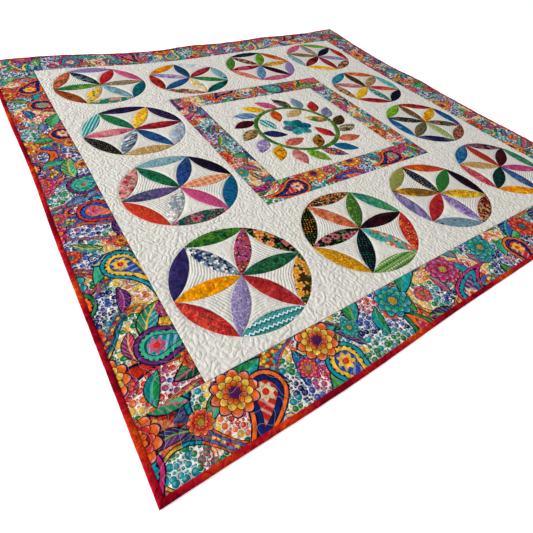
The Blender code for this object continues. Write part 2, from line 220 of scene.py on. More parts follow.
FLOWER_LOBES = (
    # anticlockwise from the lobe at FLOWER_TURN
    "batik deepteal cerulean teal",
    "mottle teal deepteal turquoise",
    "batik teal turquoise deepteal",
    "batik slate deepteal greyblue",
    "mottle turquoise teal malachite",
    "mottle teal turquoise aqua",
)

# What each wheel's petals are cut from: kind of cloth, ground, ink and accent. Six from the hub,
# anticlockwise from the first petal, then the six along the rim.
WHEEL_CLOTHS = {
    "near_1": """
        batik forest malachite moss, medley orchid orange purple, pebble navy greyblue white,
        mottle golden golden orange, speckle lavender slate lilac, mottle brick crimson rose,
        floral black golden rose, batik leaf forest lime, batik navy purple midnight,
        batik red crimson salmon, zigzag peacock white olive, floral chocolate golden golden
    """,
    "near_2": """
        mottle plum black maroon, speckle moss forest lime, mottle salmon rust peach,
        floral black rose forest, dots black teal deepteal, floral turquoise cream orange,
        batik teal fern turquoise, medley chocolate orange tan, dots black golden leaf,
        speckle ochre golden yellow, rows fern cream forest, medley red crimson tangerine
    """,
    "near_3": """
        scroll leaf forest malachite, dots midnight yellow greyblue, mottle ochre brown golden,
        mottle crimson brick red, batik lavender violet white, mottle yellow ochre golden,
        mottle orange rust brick, scroll olive tan moss, stroke slate lavender violet,
        scroll greyblue deepteal aqua, medley maroon tan brick, mottle black midnight plum
    """,
    "near_4": """
        mottle maroon plum chocolate, stripe brick rust maroon, speckle tan ochre cream,
        batik forest black deepteal, batik royal navy sky, mottle orchid magenta pink,
        medley slate plum brick, batik cerulean navy sky, batik crimson rose blush,
        mottle golden orange yellow, scroll teal white navy, batik malachite teal lime
    """,
    "left_1": """
        plaid peach salmon cream, batik royal navy cerulean, batik malachite forest leaf,
        mottle slate purple violet, batik greyblue white blush, speckle orchid magenta rose,
        mottle midnight plum black, scroll aqua deepteal sky, floral blush crimson rose,
        speckle red brick orange, floral deepteal forest rose, stroke cerulean deepteal royal
    """,
    "left_2": """
        mottle crimson maroon red, mottle yellow golden sunflower, mottle malachite leaf malachite,
        mottle rose pink blush, stroke greyblue navy white, mottle royal navy cerulean,
        dots midnight violet teal, mottle midnight purple midnight, stripe turquoise white teal,
        dots black grey taupe, speckle tan ochre cream, batik aqua lilac heather
    """,
    "right_1": """
        mottle golden ochre yellow, mottle brown taupe rust, medley deepteal plum maroon,
        pebble brown ochre teal, speckle leaf cream lime, floral black rose forest,
        mottle brick maroon red, mottle lime leaf lime, mottle cerulean royal sky,
        mottle midnight navy slate, medley brown purple salmon, mottle royal navy cerulean
    """,
    "right_2": """
        mottle taupe tan tan, speckle chocolate black ochre, mottle heather rose blush,
        mottle yellow yellow golden, batik malachite aqua teal, mottle red crimson salmon,
        mottle orange rust peach, mottle cerulean cerulean turquoise, floral chocolate orange tan,
        mottle crimson maroon brick, mottle midnight black navy, batik turquoise aqua teal
    """,
    "far_1": """
        speckle taupe brown cream, batik crimson red maroon, stroke midnight forest greyblue,
        mottle malachite leaf lime, floral yellow cream golden, mottle greyblue aqua sky,
        mottle pink magenta orchid, speckle lavender violet slate, mottle salmon rust brown,
        stroke rust brown black, floral teal blush yellow, batik deepteal teal midnight
    """,
    "far_2": """
        batik crimson maroon rose, mottle deepteal royal navy, mottle lavender lilac violet,
        mottle royal cerulean navy, mottle cream yellow white, batik malachite leaf lime,
        stroke white lilac aqua, mottle golden orange ochre, mottle brick maroon red,
        floral brown cream rose, mottle black forest teal, scroll aqua deepteal sky
    """,
    "far_3": """
        floral golden ochre yellow, mottle leaf lime moss, floral chocolate blush salmon,
        mottle crimson maroon rose, batik sky royal aqua, mottle black maroon plum,
        mottle rust orange salmon, mottle black deepteal midnight, batik moss leaf olive,
        mottle salmon blush orange, mottle pink magenta orchid, speckle lavender violet slate
    """,
    "far_4": """
        mottle midnight black navy, medley greyblue orange tan, batik taupe brown tan,
        mottle burgundy maroon brick, batik crimson maroon rose, mottle lavender grey greyblue,
        mottle lime leaf olive, mottle pink orchid rose, mottle aqua greyblue turquoise,
        mottle yellow sunflower golden, floral chocolate blush salmon, mottle brick maroon red
    """,
}

# Soft swells that lift the cloth, and places where the quilt has drawn in or spread, as in the solids.
SWELLS = (
    # u, v (middle), reach in u, reach in v, rise
    (0.620, 0.660, 0.620, 0.550, 0.0130),
    (0.750, 0.750, 0.200, 0.220, 0.0110),
    (-0.620, 0.760, 0.340, 0.400, 0.0080),
    (-0.030, 0.770, 0.150, 0.160, 0.0060),
    (0.330, 0.780, 0.120, 0.160, 0.0040),
    (0.770, 0.130, 0.160, 0.160, 0.0055),
    (0.780, -0.330, 0.120, 0.160, 0.0035),
)
DRAWS = (
    # u, v (middle), reach in u, reach in v, move in u, move in v
    (-0.180, 0.740, 0.360, 0.480, 0.0000, -0.0200),
    (0.740, -0.330, 0.300, 0.340, -0.0110, 0.0000),
    (0.740, 0.380, 0.240, 0.260, -0.0060, 0.0000),
    (-0.740, 0.060, 0.300, 0.300, 0.0040, 0.0000),
    (-0.420, -0.740, 0.330, 0.200, 0.0000, -0.0050),
)

# Dyes, as red, green and blue from 0 to 255.
DYES = {
    "white": (222, 218, 208), "cotton": (213, 209, 200), "cream": (206, 190, 150),
    "blush": (204, 140, 134), "peach": (206, 136, 96), "tan": (176, 140, 84),
    "taupe": (118, 104, 78), "brown": (92, 60, 32), "chocolate": (50, 34, 26),
    "black": (16, 14, 17), "grey": (110, 112, 110), "yellow": (212, 170, 34),
    "golden": (222, 143, 8), "ochre": (135, 94, 24), "orange": (196, 82, 18),
    "rust": (150, 62, 24), "salmon": (194, 100, 68), "brick": (162, 44, 30),
    "red": (188, 46, 38), "crimson": (148, 26, 42), "maroon": (70, 18, 26),
    "burgundy": (64, 12, 26), "plum": (30, 14, 22), "rose": (188, 78, 94),
    "heather": (160, 104, 110), "pink": (192, 90, 122), "magenta": (172, 50, 102),
    "orchid": (166, 68, 112), "violet": (100, 66, 130), "purple": (58, 34, 82),
    "lilac": (172, 162, 186), "lavender": (142, 122, 168), "slate": (82, 86, 112),
    "midnight": (22, 20, 42), "navy": (32, 40, 86), "royal": (36, 64, 118),
    "cerulean": (14, 92, 132), "greyblue": (110, 132, 144), "sky": (104, 142, 172),
    "aqua": (122, 158, 162), "turquoise": (50, 150, 150), "teal": (18, 104, 102),
    "deepteal": (12, 60, 70), "malachite": (24, 98, 70), "forest": (14, 50, 36),
    "leaf": (44, 106, 34), "moss": (62, 98, 40), "fern": (76, 130, 56),
    "olive": (118, 128, 60), "lime": (116, 160, 38), "cherry": (158, 14, 32),
    "garnet": (112, 6, 22), "vermilion": (182, 44, 14), "scarlet": (200, 44, 28),
    "tangerine": (228, 98, 28), "sunflower": (230, 182, 56), "fuchsia": (192, 38, 100),
    "grape": (104, 40, 108), "cobalt": (34, 76, 158), "indigo": (20, 34, 92),
    "peacock": (16, 138, 150), "mint": (56, 168, 128), "emerald": (26, 120, 64),
}

# The camera stands where the photograph was taken, in pattern places.
CAMERA_PLACE = (-0.7099, -0.8540, 0.5477)
CAMERA_FORWARD = (0.4529, 0.5148, -0.7280)
CAMERA_UP = (0.3480, 0.6496, 0.6759)
PHOTO_SIDE = 533.0
PHOTO_FOCAL = 366.6
PHOTO_MIDDLE = (282.9, 263.2)
SENSOR_MM = 36.0

# The floor that the quilt lies on, the sky and the lights.
FLOOR_REACH = 9.0
FLOOR_GLOW = 0.35
SKY_STRENGTH = 0.50
LIGHTS = (
    # name, place, watts, side, colour
    ("window", (-5.8, 1.6, 2.6), 550.0, 2.4, (0.98, 0.99, 1.0)),
    ("room", (1.8, -2.2, 3.0), 25.0, 3.0, (1.0, 0.96, 0.90)),
)

WHITE = (1.0, 1.0, 1.0, 1.0)
BLACK = (0.0, 0.0, 0.0, 1.0)


def dye(name):
    """A dye as linear red, green, blue and alpha."""
    part = np.array(DYES[name]) / 255.0
    linear = np.where(part <= 0.04045, part / 12.92, ((part + 0.055) / 1.055) ** 2.4)
    return (*linear.tolist(), 1.0)


class Term:
    """One output of a shader node. Sums and products of terms add Math nodes, so a formula reads as such."""

    def __init__(self, socket):
        self.socket = socket

    __add__ = lambda self, other: reckon("ADD", self, other)
    __radd__ = lambda self, other: reckon("ADD", other, self)
    __sub__ = lambda self, other: reckon("SUBTRACT", self, other)
    __rsub__ = lambda self, other: reckon("SUBTRACT", other, self)
    __mul__ = lambda self, other: reckon("MULTIPLY", self, other)
    __rmul__ = lambda self, other: reckon("MULTIPLY", other, self)
    __truediv__ = lambda self, other: reckon("DIVIDE", self, other)
    __rtruediv__ = lambda self, other: reckon("DIVIDE", other, self)
    __lt__ = lambda self, other: reckon("LESS_THAN", self, other)
    __gt__ = lambda self, other: reckon("GREATER_THAN", self, other)
    __abs__ = lambda self: reckon("ABSOLUTE", self)


def tree_of(*values):
    """The node tree that the first term among the values belongs to."""
    return next(value.socket.id_data for value in values if isinstance(value, Term))


def feed(tree, value, socket):
    """Puts a term or a plain value into an input socket."""
    if isinstance(value, Term):
        tree.links.new(value.socket, socket)
    else:
        socket.default_value = value


def placed(kind, inputs, **settings):
    """A new shader node in the tree of its inputs, which are given by the socket's name or number."""
    tree = tree_of(*inputs.values())
    node = tree.nodes.new(kind)
    for setting, value in settings.items():
        setattr(node, setting, value)
    for socket, value in inputs.items():
        feed(tree, value, node.inputs[socket])
    return node


def reckon(operation, *values):
    """A Math node."""
    return Term(placed("ShaderNodeMath", dict(enumerate(values)), operation=operation).outputs[0])


def fraction(value):
    """What a value is over the whole number below it."""
    return reckon("FRACT", value)


def length(x, y):
    """The square root of the sum of two squares."""
    return reckon("SQRT", x * x + y * y)


def vector_sum(a, b, operation="ADD"):
    """Two vectors added, or put through another Vector Math operation."""
    return Term(placed("ShaderNodeVectorMath", {0: a, 1: b}, operation=operation).outputs[0])


def scaled(vector, amount):
    """A vector times a number."""
    return Term(placed("ShaderNodeVectorMath", {0: vector, 3: amount}, operation="SCALE").outputs[0])


def turned(vector, angle):
    """A vector turned about Z."""
    node = placed("ShaderNodeVectorRotate", {"Vector": vector, "Angle": angle}, rotation_type="Z_AXIS")
    return Term(node.outputs[0])


def split(vector):
    """The three parts of a vector or a colour."""
    return tuple(Term(socket) for socket in placed("ShaderNodeSeparateXYZ", {0: vector}).outputs)


def together(x, y):
    """A vector in the cloth's plane."""
    return Term(placed("ShaderNodeCombineXYZ", {0: x, 1: y}).outputs[0])


def soft_step(value, low, high):
    """0 at low, 1 at high, with a smooth rise between. It falls where low is above high."""
    inputs = {"Value": value, "From Min": low, "From Max": high}
    return Term(placed("ShaderNodeMapRange", inputs, interpolation_type="SMOOTHSTEP").outputs[0])


def over(base, top, mask, blend="MIX"):
    """The colour top laid over base where the mask is 1."""
    node = placed("ShaderNodeMix", {0: mask, 6: base, 7: top}, data_type="RGBA", blend_type=blend)
    return Term(node.outputs[2])


def layered(colour, *layers):
    """A colour with others laid over it in turn, each given with its mask."""
    for top, mask in layers:
        colour = over(colour, top, mask)
    return colour


def darkened(colour, amount):
    """A colour times 1 minus an amount."""
    return over(colour, BLACK, amount)


def brightened(colour, amount):
    """A colour times 1 plus an amount."""
    return over(colour, colour, amount, "ADD")


def noise(vector, scale, detail=2.0, roughness=0.5, distortion=0.0):
    """A smooth noise between 0 and 1 over the cloth's own plane."""
    inputs = {"Vector": vector, "Scale": scale, "Detail": detail}
    inputs |= {"Roughness": roughness, "Distortion": distortion}
    return Term(placed("ShaderNodeTexNoise", inputs, noise_dimensions="2D").outputs[0])


def patches(cloth, scale, low, high, detail=3.0):
    """1 where a rough noise is above high, and 0 where it is below low."""
    return soft_step(noise(cloth, scale, detail, 0.6), low, high)


def scattered(vector, pitch, randomness):
    """Points about one pitch apart: how far the nearest is in pitches, three random numbers that are its own
    (as a colour), and where it is."""
    inputs = {"Vector": vector, "Scale": 1.0 / pitch, "Randomness": randomness}
    node = placed("ShaderNodeTexVoronoi", inputs, voronoi_dimensions="2D")
    return tuple(Term(node.outputs[label]) for label in ("Distance", "Color", "Position"))


def strewn(cloth, pitch, randomness):
    """The way from the nearest of such scattered points, and its three random numbers."""
    _, own, at = scattered(cloth, pitch, randomness)
    return vector_sum(cloth, at, "SUBTRACT"), *split(own)


def dye_by(value, names):
    """One of several dyes, by a value from 0 to 1."""
    node = placed("ShaderNodeValToRGB", {0: value})
    node.color_ramp.interpolation = "CONSTANT"
    elements = node.color_ramp.elements
    names = names.split()
    for k, name in enumerate(names):
        element = elements[k] if k < 2 else elements.new(k / len(names))
        element.position = k / len(names)
        element.color = dye(name)
    return Term(node.outputs[0])


def node_group(inputs, outputs):
    """Makes a function of terms into a shader node group of its own name. Called with values, the group is
    placed in their tree and gives the term or terms of its outputs."""

    def make(build):
        tree = bpy.data.node_groups.new(build.__name__.replace("_", " "), "ShaderNodeTree")
        for direction, sockets in (("INPUT", inputs), ("OUTPUT", outputs)):
            for label, kind in sockets.items():
                tree.interface.new_socket(label, in_out=direction, socket_type=f"NodeSocket{kind}")
        entry = tree.nodes.new("NodeGroupInput")
        leave = tree.nodes.new("NodeGroupOutput")
        made = build(*[Term(entry.outputs[k]) for k in range(len(inputs))])
        for term, socket in zip(made if isinstance(made, tuple) else (made,), leave.inputs):
            feed(tree, term, socket)

        def place(*values):
            node = placed("ShaderNodeGroup", dict(enumerate(values)), node_tree=tree)
            terms = tuple(Term(socket) for socket in node.outputs)
            return terms if len(terms) > 1 else terms[0]

        return place

    return make


def cotton(name, build):
    """A cotton material. build() is given a reader of the piece's attributes, and makes the colour and the
    normal."""
    material = bpy.data.materials.new(name)
    material.use_nodes = True
    tree = material.node_tree

    def read(label, output="Vector"):
        node = tree.nodes.new("ShaderNodeAttribute")
        node.attribute_name = label
        return Term(node.outputs[output])

    shader = tree.nodes["Principled BSDF"]
    for term, label in zip(build(read), ("Base Color", "Normal")):
        feed(tree, term, shader.inputs[label])
    shader.inputs["Roughness"].default_value = COTTON_ROUGHNESS
    shader.inputs["Specular IOR Level"].default_value = 0.0
    return material


@node_group(
    {"Cloth": "Vector", "Stitch": "Float", "Groove": "Float", "Pucker": "Float", "Fold": "Float"},
    {"Normal": "Vector", "Line": "Float"},
)
def sewn_surface(cloth, stitch, groove, pucker, fold):
    """Relief of quilted cotton: it puffs up from a crease at the stitch line, with fine puckers, broader
    folds, and a plain weave whose threads go over and under (the product of two sines). Out come the normal
    and 1 at the stitch line."""
    x, y, _ = split(cloth)
    line = soft_step(stitch, 0.0011, 0.0001)
    near = soft_step(stitch, 0.0045, 0.0005)
    puff = soft_step(stitch, -0.0012, 0.0034)
    crumple = noise(cloth, 190.0, 3.0, 0.6) - 0.5
    creases = noise(cloth, 62.0, 2.0, 0.55, 0.6) - 0.5
    thread = FULL_TURN / THREAD_PITCH
    weave = reckon("SINE", x * thread) * reckon("SINE", y * thread) * 0.000028
    slub = noise(together(x * 0.25, y), 900.0, 1.0) * 0.00006
    height = weave + slub + crumple * pucker * (near * 0.6 + 0.7) + creases * fold + puff * groove
    bump = placed("ShaderNodeBump", {"Strength": 1.0, "Distance": 1.0, "Height": height})
    return Term(bump.outputs["Normal"]), line


def batik(cloth, ground, ink, accent):
    """Dye that ran: warped clouds of ink on the ground, a few flecks of the accent, and in places its
    curling lines, where a noise passes even steps. Some places are paler and some deeper, as painted
    highlight and painted shade in random patches."""
    cloud = noise(cloth, 52.0, 4.0, 0.65, 1.5)
    curl = abs(fraction(noise(cloth, 30.0, 1.0, 0.5, 1.8) * 9.0) - 0.5)
    where = noise(cloth, 17.0, 1.0)
    fleck = noise(cloth, 230.0, 2.0, 0.5, 0.6)
    mixed = over(ground, ink, soft_step(cloud, 0.42, 0.62))
    mixed = over(mixed, accent, soft_step(curl, 0.14, 0.05) * soft_step(where, 0.48, 0.55) * 0.70)
    mixed = over(mixed, accent, soft_step(fleck, 0.64, 0.71) * 0.70)
    # Painted highlight and painted shade: paler and deeper random patches, as of light and shade on small
    # crumples.
    mixed = brightened(mixed, patches(cloth, 66.0, 0.50, 0.66) * 0.45)
    return darkened(mixed, patches(cloth, 100.0, 0.44, 0.62) * 0.34)


def speckle(cloth, ground, ink, accent):
    """Fine specks of ink, and coarser, sparser ones of the accent."""
    fine = noise(cloth, 330.0, 2.0, 0.6, 0.5)
    coarse = noise(cloth, 190.0, 2.0, 0.5, 0.9)
    mixed = over(ground, ink, soft_step(fine, 0.46, 0.58) * 0.90)
    return over(mixed, accent, soft_step(coarse, 0.57, 0.66) * 0.90)


def dots(cloth, ground, ink, accent):
    """Small round dots, of ink in some places and of the accent in others, and not all of one size."""
    away, own, at = scattered(cloth, 0.0068, 0.42)
    reach = split(own)[0] * 0.10 + 0.10
    dot = over(ink, accent, noise(at, 30.0, 0.0) > 0.5)
    return over(ground, dot, soft_step(away, reach + 0.06, reach))


def zigzag(cloth, ground, ink, accent):
    """Zigzag rows: the place across is moved by a triangle wave along, and cut into bands of the ground, the
    accent, the ground again but deeper, and the ink."""
    x, y, _ = split(cloth)
    row = fraction((y + reckon("PINGPONG", x, 0.0046)) / 0.0150)
    return layered(ground, (accent, row > 0.32), (darkened(ground, 0.40), row > 0.44), (ink, row > 0.81))


def stripe(cloth, ground, ink, accent):
    """Broad stripes, each with a broken line of ink dashes and a thin line of the accent."""
    x, y, _ = split(cloth)
    row = fraction(y / 0.0085)
    dash = (fraction(x / 0.0034) < 0.55) * (abs(row - 0.30) < 0.13)
    return layered(ground, (accent, abs(row - 0.78) < 0.10), (ink, dash))


def pebble(cloth, ground, ink, accent):
    """Small uneven cells, some of ink and some of the accent, each darker towards its edge."""
    away, own, _ = scattered(cloth, 0.0052, 1.0)
    tone, shade, _ = split(own)
    mixed = layered(ground, (ink, tone > 0.62), (accent, tone < 0.30))
    return darkened(mixed, soft_step(away, 0.28, 0.80) * 0.34 + shade * 0.10)


def rows(cloth, ground, ink, accent):
    """Rows along the cloth: small and large dots of ink, fine flecks of it, and a broken line of accent."""
    x, y, _ = split(cloth)
    row = fraction(y / 0.0200)
    dot = length(fraction(x / 0.0075) - 0.5, (row - 0.20) * 2.67)
    small = length(fraction(x / 0.0052) - 0.5, (row - 0.55) * 3.85)
    dash = (fraction(x / 0.0120) < 0.80) * soft_step(abs(row - 0.83), 0.07, 0.045)
    return layered(
        ground,
        (ink, soft_step(noise(cloth, 230.0, 2.0), 0.52, 0.62) * 0.15),
        (accent, dash * 0.85),
        (ink, soft_step(dot, 0.34, 0.26) * 0.90),
        (ink, soft_step(small, 0.28, 0.20) * 0.80),
    )


def floral(cloth, ground, ink, accent):
    """Large blooms of five or nine petals, in ink with a heart of the accent or the other way round, among
    leaves and small buds. A bloom's edge is a circle whose radius follows a cosine of the angle."""
    way, turn, tone, _ = strewn(cloth, 0.0115, 0.8)
    x, y, _ = split(turned(way, turn * FULL_TURN))
    blade = soft_step(length(x * 2.3, y), 0.0060, 0.0050)
    mixed = over(ground, over(accent, dye("moss"), tone > 0.35), blade)
    way, size, tilt, tone = strewn(cloth, 0.0290, 0.70)
    x, y, _ = split(way)
    bloom = over(ink, accent, tone > 0.60)
    heart = over(accent, ink, tone > 0.60)
    swing = reckon("COSINE", reckon("ARCTAN2", y, x) * ((tilt > 0.45) * 4.0 + 5.0))
    reach = 0.0098 + size * 0.0045
    away = length(x, y)
    edge = away - reach * (swing * 0.15 + 0.85)
    petal = over(darkened(bloom, 0.35), over(bloom, dye("white"), 0.14), soft_step(away / reach, 0.25, 0.95))
    petal = darkened(petal, soft_step(swing, -0.70, -1.0) * 0.55)
    mixed = layered(
        mixed,
        (darkened(bloom, 0.60), soft_step(edge, 0.0008, 0.0003)),
        (petal, soft_step(edge, 0.0001, -0.0003)),
        (heart, soft_step(away, 0.0036, 0.0029)),
    )
    return darkened(mixed, soft_step(away, 0.0016, 0.0010) * 0.6)


def scroll(cloth, ground, ink, accent):
    """Curling lines of ink where a smooth noise passes even steps, and soft patches of the accent."""
    line = abs(fraction(noise(cloth, 46.0, 1.0, 0.4, 0.5) * 9.0) - 0.5)
    patch = noise(cloth, 90.0, 1.0)
    return layered(ground, (accent, soft_step(patch, 0.52, 0.64) * 0.5), (ink, soft_step(line, 0.13, 0.06)))


def plaid(cloth, ground, ink, accent):
    """Broad and thin stripes both ways, laid over each other."""
    x, y, _ = split(cloth)
    across = fraction(x / 0.0135)
    along = fraction(y / 0.0150)
    thin = reckon("MAXIMUM", abs(across - 0.70) < 0.06, abs(along - 0.72) < 0.06)
    return layered(ground, (ink, (across < 0.42) * 0.55), (ink, (along < 0.45) * 0.55), (accent, thin * 0.7))


def mottle(cloth, ground, ink, accent):
    """Hand-dyed cloth: blotches of ink, wide places of the accent, dark creases where the dye gathered,
    along the middle values of a noise, and paler and deeper places in random patches: painted highlight and
    painted shade."""
    cloud = noise(cloth, 60.0, 5.0, 0.66, 1.0)
    wide = noise(cloth, 19.0, 2.0, 0.6)
    crease = abs(noise(cloth, 44.0, 3.0, 0.6, 1.2) - 0.5)
    mixed = over(ground, ink, soft_step(cloud, 0.42, 0.60) * 0.80)
    mixed = over(mixed, accent, soft_step(wide, 0.50, 0.62) * 0.60)
    mixed = darkened(mixed, soft_step(crease, 0.036, 0.0) * 0.46)
    # Painted highlight and painted shade: paler and deeper random patches, as of light and shade on small
    # crumples.
    mixed = brightened(mixed, patches(cloth, 70.0, 0.50, 0.66) * 0.45)
    return darkened(mixed, patches(cloth, 110.0, 0.45, 0.62) * 0.31)


def stroke(cloth, ground, ink, accent):
    """Brush strokes: noise drawn out along the cloth, in ink and accent."""
    x, y, _ = split(cloth)
    first = noise(together(x * 0.22, y), 150.0, 2.0, 0.55, 0.8)
    second = noise(together(x * 0.30 + 0.7, y), 95.0, 2.0, 0.55, 0.6)
    mixed = over(ground, accent, soft_step(second, 0.52, 0.60) * 0.85)
    return over(mixed, ink, soft_step(first, 0.49, 0.57) * 0.85)


def medley(cloth, ground, ink, accent):
    """A busy print: curling patches of ink and accent on the ground, outlined and shaded, and pale flecks."""
    field = noise(cloth, 58.0, 2.0, 0.5, 1.4)
    other = noise(cloth, 74.0, 2.0, 0.5, 1.2)
    mixed = layered(ground, (ink, soft_step(field, 0.53, 0.55)), (accent, soft_step(other, 0.56, 0.58)))
    field_rim = soft_step(abs(field - 0.54), 0.018, 0.007)
    other_rim = soft_step(abs(other - 0.57), 0.017, 0.007)
    mixed = darkened(mixed, reckon("MAXIMUM", field_rim, other_rim) * 0.75)
    mixed = darkened(mixed, patches(cloth, 170.0, 0.40, 0.62, 2.0) * 0.30)
    away, own, _ = scattered(cloth, 0.0080, 0.8)
    fleck = soft_step(away, 0.22, 0.14) * (split(own)[0] > 0.66)
    return over(mixed, dye("cream"), fleck * 0.80)


CLOTH_KINDS = (
    batik, speckle, dots, zigzag, stripe, pebble, rows, floral, scroll, plaid, mottle, stroke, medley,
)


def applique_cottons():
    """One material for each kind of cloth. Its three dyes and its place on the cloth are the piece's own."""
    inputs = {"Cloth": "Vector", "Ground": "Color", "Ink": "Color", "Accent": "Color"}
    made = {}
    for kind in CLOTH_KINDS:
        pattern = node_group(inputs, {"Colour": "Color"})(kind)

        def build(read, pattern=pattern):
            cloth = read("cloth")
            normal, _ = sewn_surface(cloth, 1.0, 0.0, 0.0016, 0.0038)
            return pattern(cloth, *[read(label, "Color") for label in DYE_LABELS]), normal

        made[kind.__name__] = cotton(f"{kind.__name__}_cotton", build)
    return made


MOTIF_INPUTS = {"Cloth": "Vector", "Pitch": "Float", "Size": "Float"}
MOTIF_OUTPUTS = {"Colour": "Color", "Mask": "Float"}


@node_group(MOTIF_INPUTS, MOTIF_OUTPUTS)
def teardrop_motif(cloth, pitch, size):
    """Bent teardrops scattered a pitch apart, each turned its own way: a round cone whose axis bends by the
    square of the distance along it. Bands, a scalloped line and a small rosette lie inside its outline."""
    way, spin, side, tone = strewn(cloth, pitch, 0.24)
    x, y, _ = split(turned(scaled(way, 1.0 / size), spin * FULL_TURN))
    x = x * reckon("SIGN", side - 0.5)
    rise = reckon("MAXIMUM", y + 0.08, 0.0)
    x = x - rise * rise * 1.05 + 0.03
    y = y + 0.22
    head, tip, body = 0.235, 0.022, 0.62
    lean = (head - tip) / body
    upright = math.sqrt(1.0 - lean * lean)
    wide = abs(x)
    along = y * upright - wide * lean
    d_head = length(wide, y) - head
    d_side = wide * upright + y * lean - head
    d_tip = length(wide, y - body) - tip
    d = d_head + (along > 0.0) * (d_side - d_head) + (along > upright * body) * (d_tip - d_side)
    blur = 0.006

    def inside(depth, edge=d):
        return soft_step(edge, -depth, -depth - blur)

    away = length(x, y)
    angle = reckon("ARCTAN2", x, y)
    scallop = abs(reckon("SINE", angle * 9.0)) * 0.022
    rosette = 0.100 * (reckon("COSINE", angle * 7.0) * 0.16 + 0.84)
    hatch = soft_step(reckon("SINE", (y + x * 0.6) * 70.0), 0.2, 0.8)
    core = darkened(dye_by(tone, "scarlet cobalt grape fuchsia peacock tangerine"), 0.15)
    colour = layered(
        dye("midnight"),
        (dye_by(tone, "tangerine peacock fuchsia emerald grape scarlet"), inside(0.010)),
        (dye("midnight"), inside(0.046)),
        (dye_by(tone, "indigo sunflower peacock tangerine mint cobalt"), inside(0.076, d - scallop)),
        (dye("midnight"), inside(0.106)),
        (over(core, WHITE, hatch * 0.20), inside(0.116)),
        (dye_by(side, "sunflower pink mint cream"), soft_step(away - rosette, blur, 0.0)),
        (dye("scarlet"), soft_step(away, 0.040, 0.034)),
    )
    return colour, soft_step(d, blur, 0.0)


@node_group(MOTIF_INPUTS, MOTIF_OUTPUTS)
def dahlia_motif(cloth, pitch, size):
    """Round flowers of four rings of petals, scattered a pitch apart. A ring's edge is a circle that swells
    with the absolute cosine of half the petal count times the angle, each ring turned by half a petal."""
    way, spin, _, tone = strewn(cloth, pitch, 0.26)
    x, y, _ = split(scaled(way, 1.0 / size))
    away = length(x, y)
    angle = reckon("ARCTAN2", y, x) * 5.0 + spin * FULL_TURN
    blur = 0.03
    rings = (
        (1.00, "scarlet fuchsia tangerine scarlet grape tangerine peacock fuchsia"),
        (0.76, "tangerine pink scarlet tangerine fuchsia sunflower mint tangerine"),
        (0.52, "sunflower fuchsia tangerine scarlet pink tangerine peacock pink"),
        (0.29, "scarlet sunflower sunflower peacock sunflower grape sunflower sunflower"),
    )
    colour = dye("midnight")
    for k, (reach, names) in enumerate(rings):
        swing = abs(reckon("COSINE", angle + 0.5 * math.pi * k))
        edge = away - (swing * 0.20 + 0.80) * reach
        petal = dye_by(tone, names)
        petal = over(darkened(petal, 0.45), petal, soft_step(away, reach * 0.58, reach * 0.85))
        petal = over(petal, WHITE, soft_step(away, reach * 0.80, reach) * swing * 0.30)
        colour = over(colour, dye("midnight"), soft_step(edge, 0.0, -blur))
        colour = over(colour, petal, soft_step(edge, -0.035, -0.035 - blur) * soft_step(swing, 0.08, 0.20))
    return colour, soft_step(away - (abs(reckon("COSINE", angle)) * 0.20 + 0.80), blur, 0.0)


@node_group(MOTIF_INPUTS, MOTIF_OUTPUTS)
def leaf_motif(cloth, pitch, size):
    """Leaves scattered a pitch apart: where two circles overlap, in two tones with a rib and side veins."""
    way, spin, side, tone = strewn(cloth, pitch, 0.40)
    x, y, _ = split(turned(scaled(way, 1.0 / size), spin * FULL_TURN))
    x = x + y * y * 0.45 - 0.05
    wide = abs(x)
    d = length(wide + 0.56, y) - 0.78
    light = dye_by(tone, "emerald peacock grape mint cobalt emerald fuchsia peacock")
    deep = dye_by(tone, "forest cobalt indigo emerald indigo peacock grape emerald")
    vein = dye_by(side, "sunflower mint lime pink")
    rib = fraction((y - wide * 1.4) * 6.0)
    blade = layered(
        light,
        (deep, soft_step(x, -0.02, 0.02) * 0.80),
        (vein, soft_step(abs(rib - 0.5), 0.11, 0.06) * 0.60),
        (vein, soft_step(wide, 0.024, 0.014) * 0.9),
    )
    return over(dye("midnight"), blade, soft_step(d, -0.020, -0.032)), soft_step(d, 0.012, 0.0)


@node_group({"Cloth": "Vector"}, {"Shade": "Float"})
def clamshell(cloth):
    """How light a point is in overlapping shells: rows of circles, every other row moved by half a shell,
    each shaded from its middle to a dark edge."""
    x, y, _ = split(cloth)
    row = y / (0.5 * SHELL_WIDTH)

    def shell(step):
        level = reckon("FLOOR", row * 0.5 + 0.5 * step) * 2.0 - step
        across = fraction(x / SHELL_WIDTH + 0.5 * step) - 0.5
        away = length(across, (row - level) * 0.5 - 0.35)
        return away, soft_step(away, 0.50, 0.38) * (away * 1.2 + 0.42)

    _, under = shell(1.0)
    away, upper = shell(0.0)
    return reckon("MINIMUM", under + soft_step(away, 0.52, 0.50) * (upper - under), 1.0)


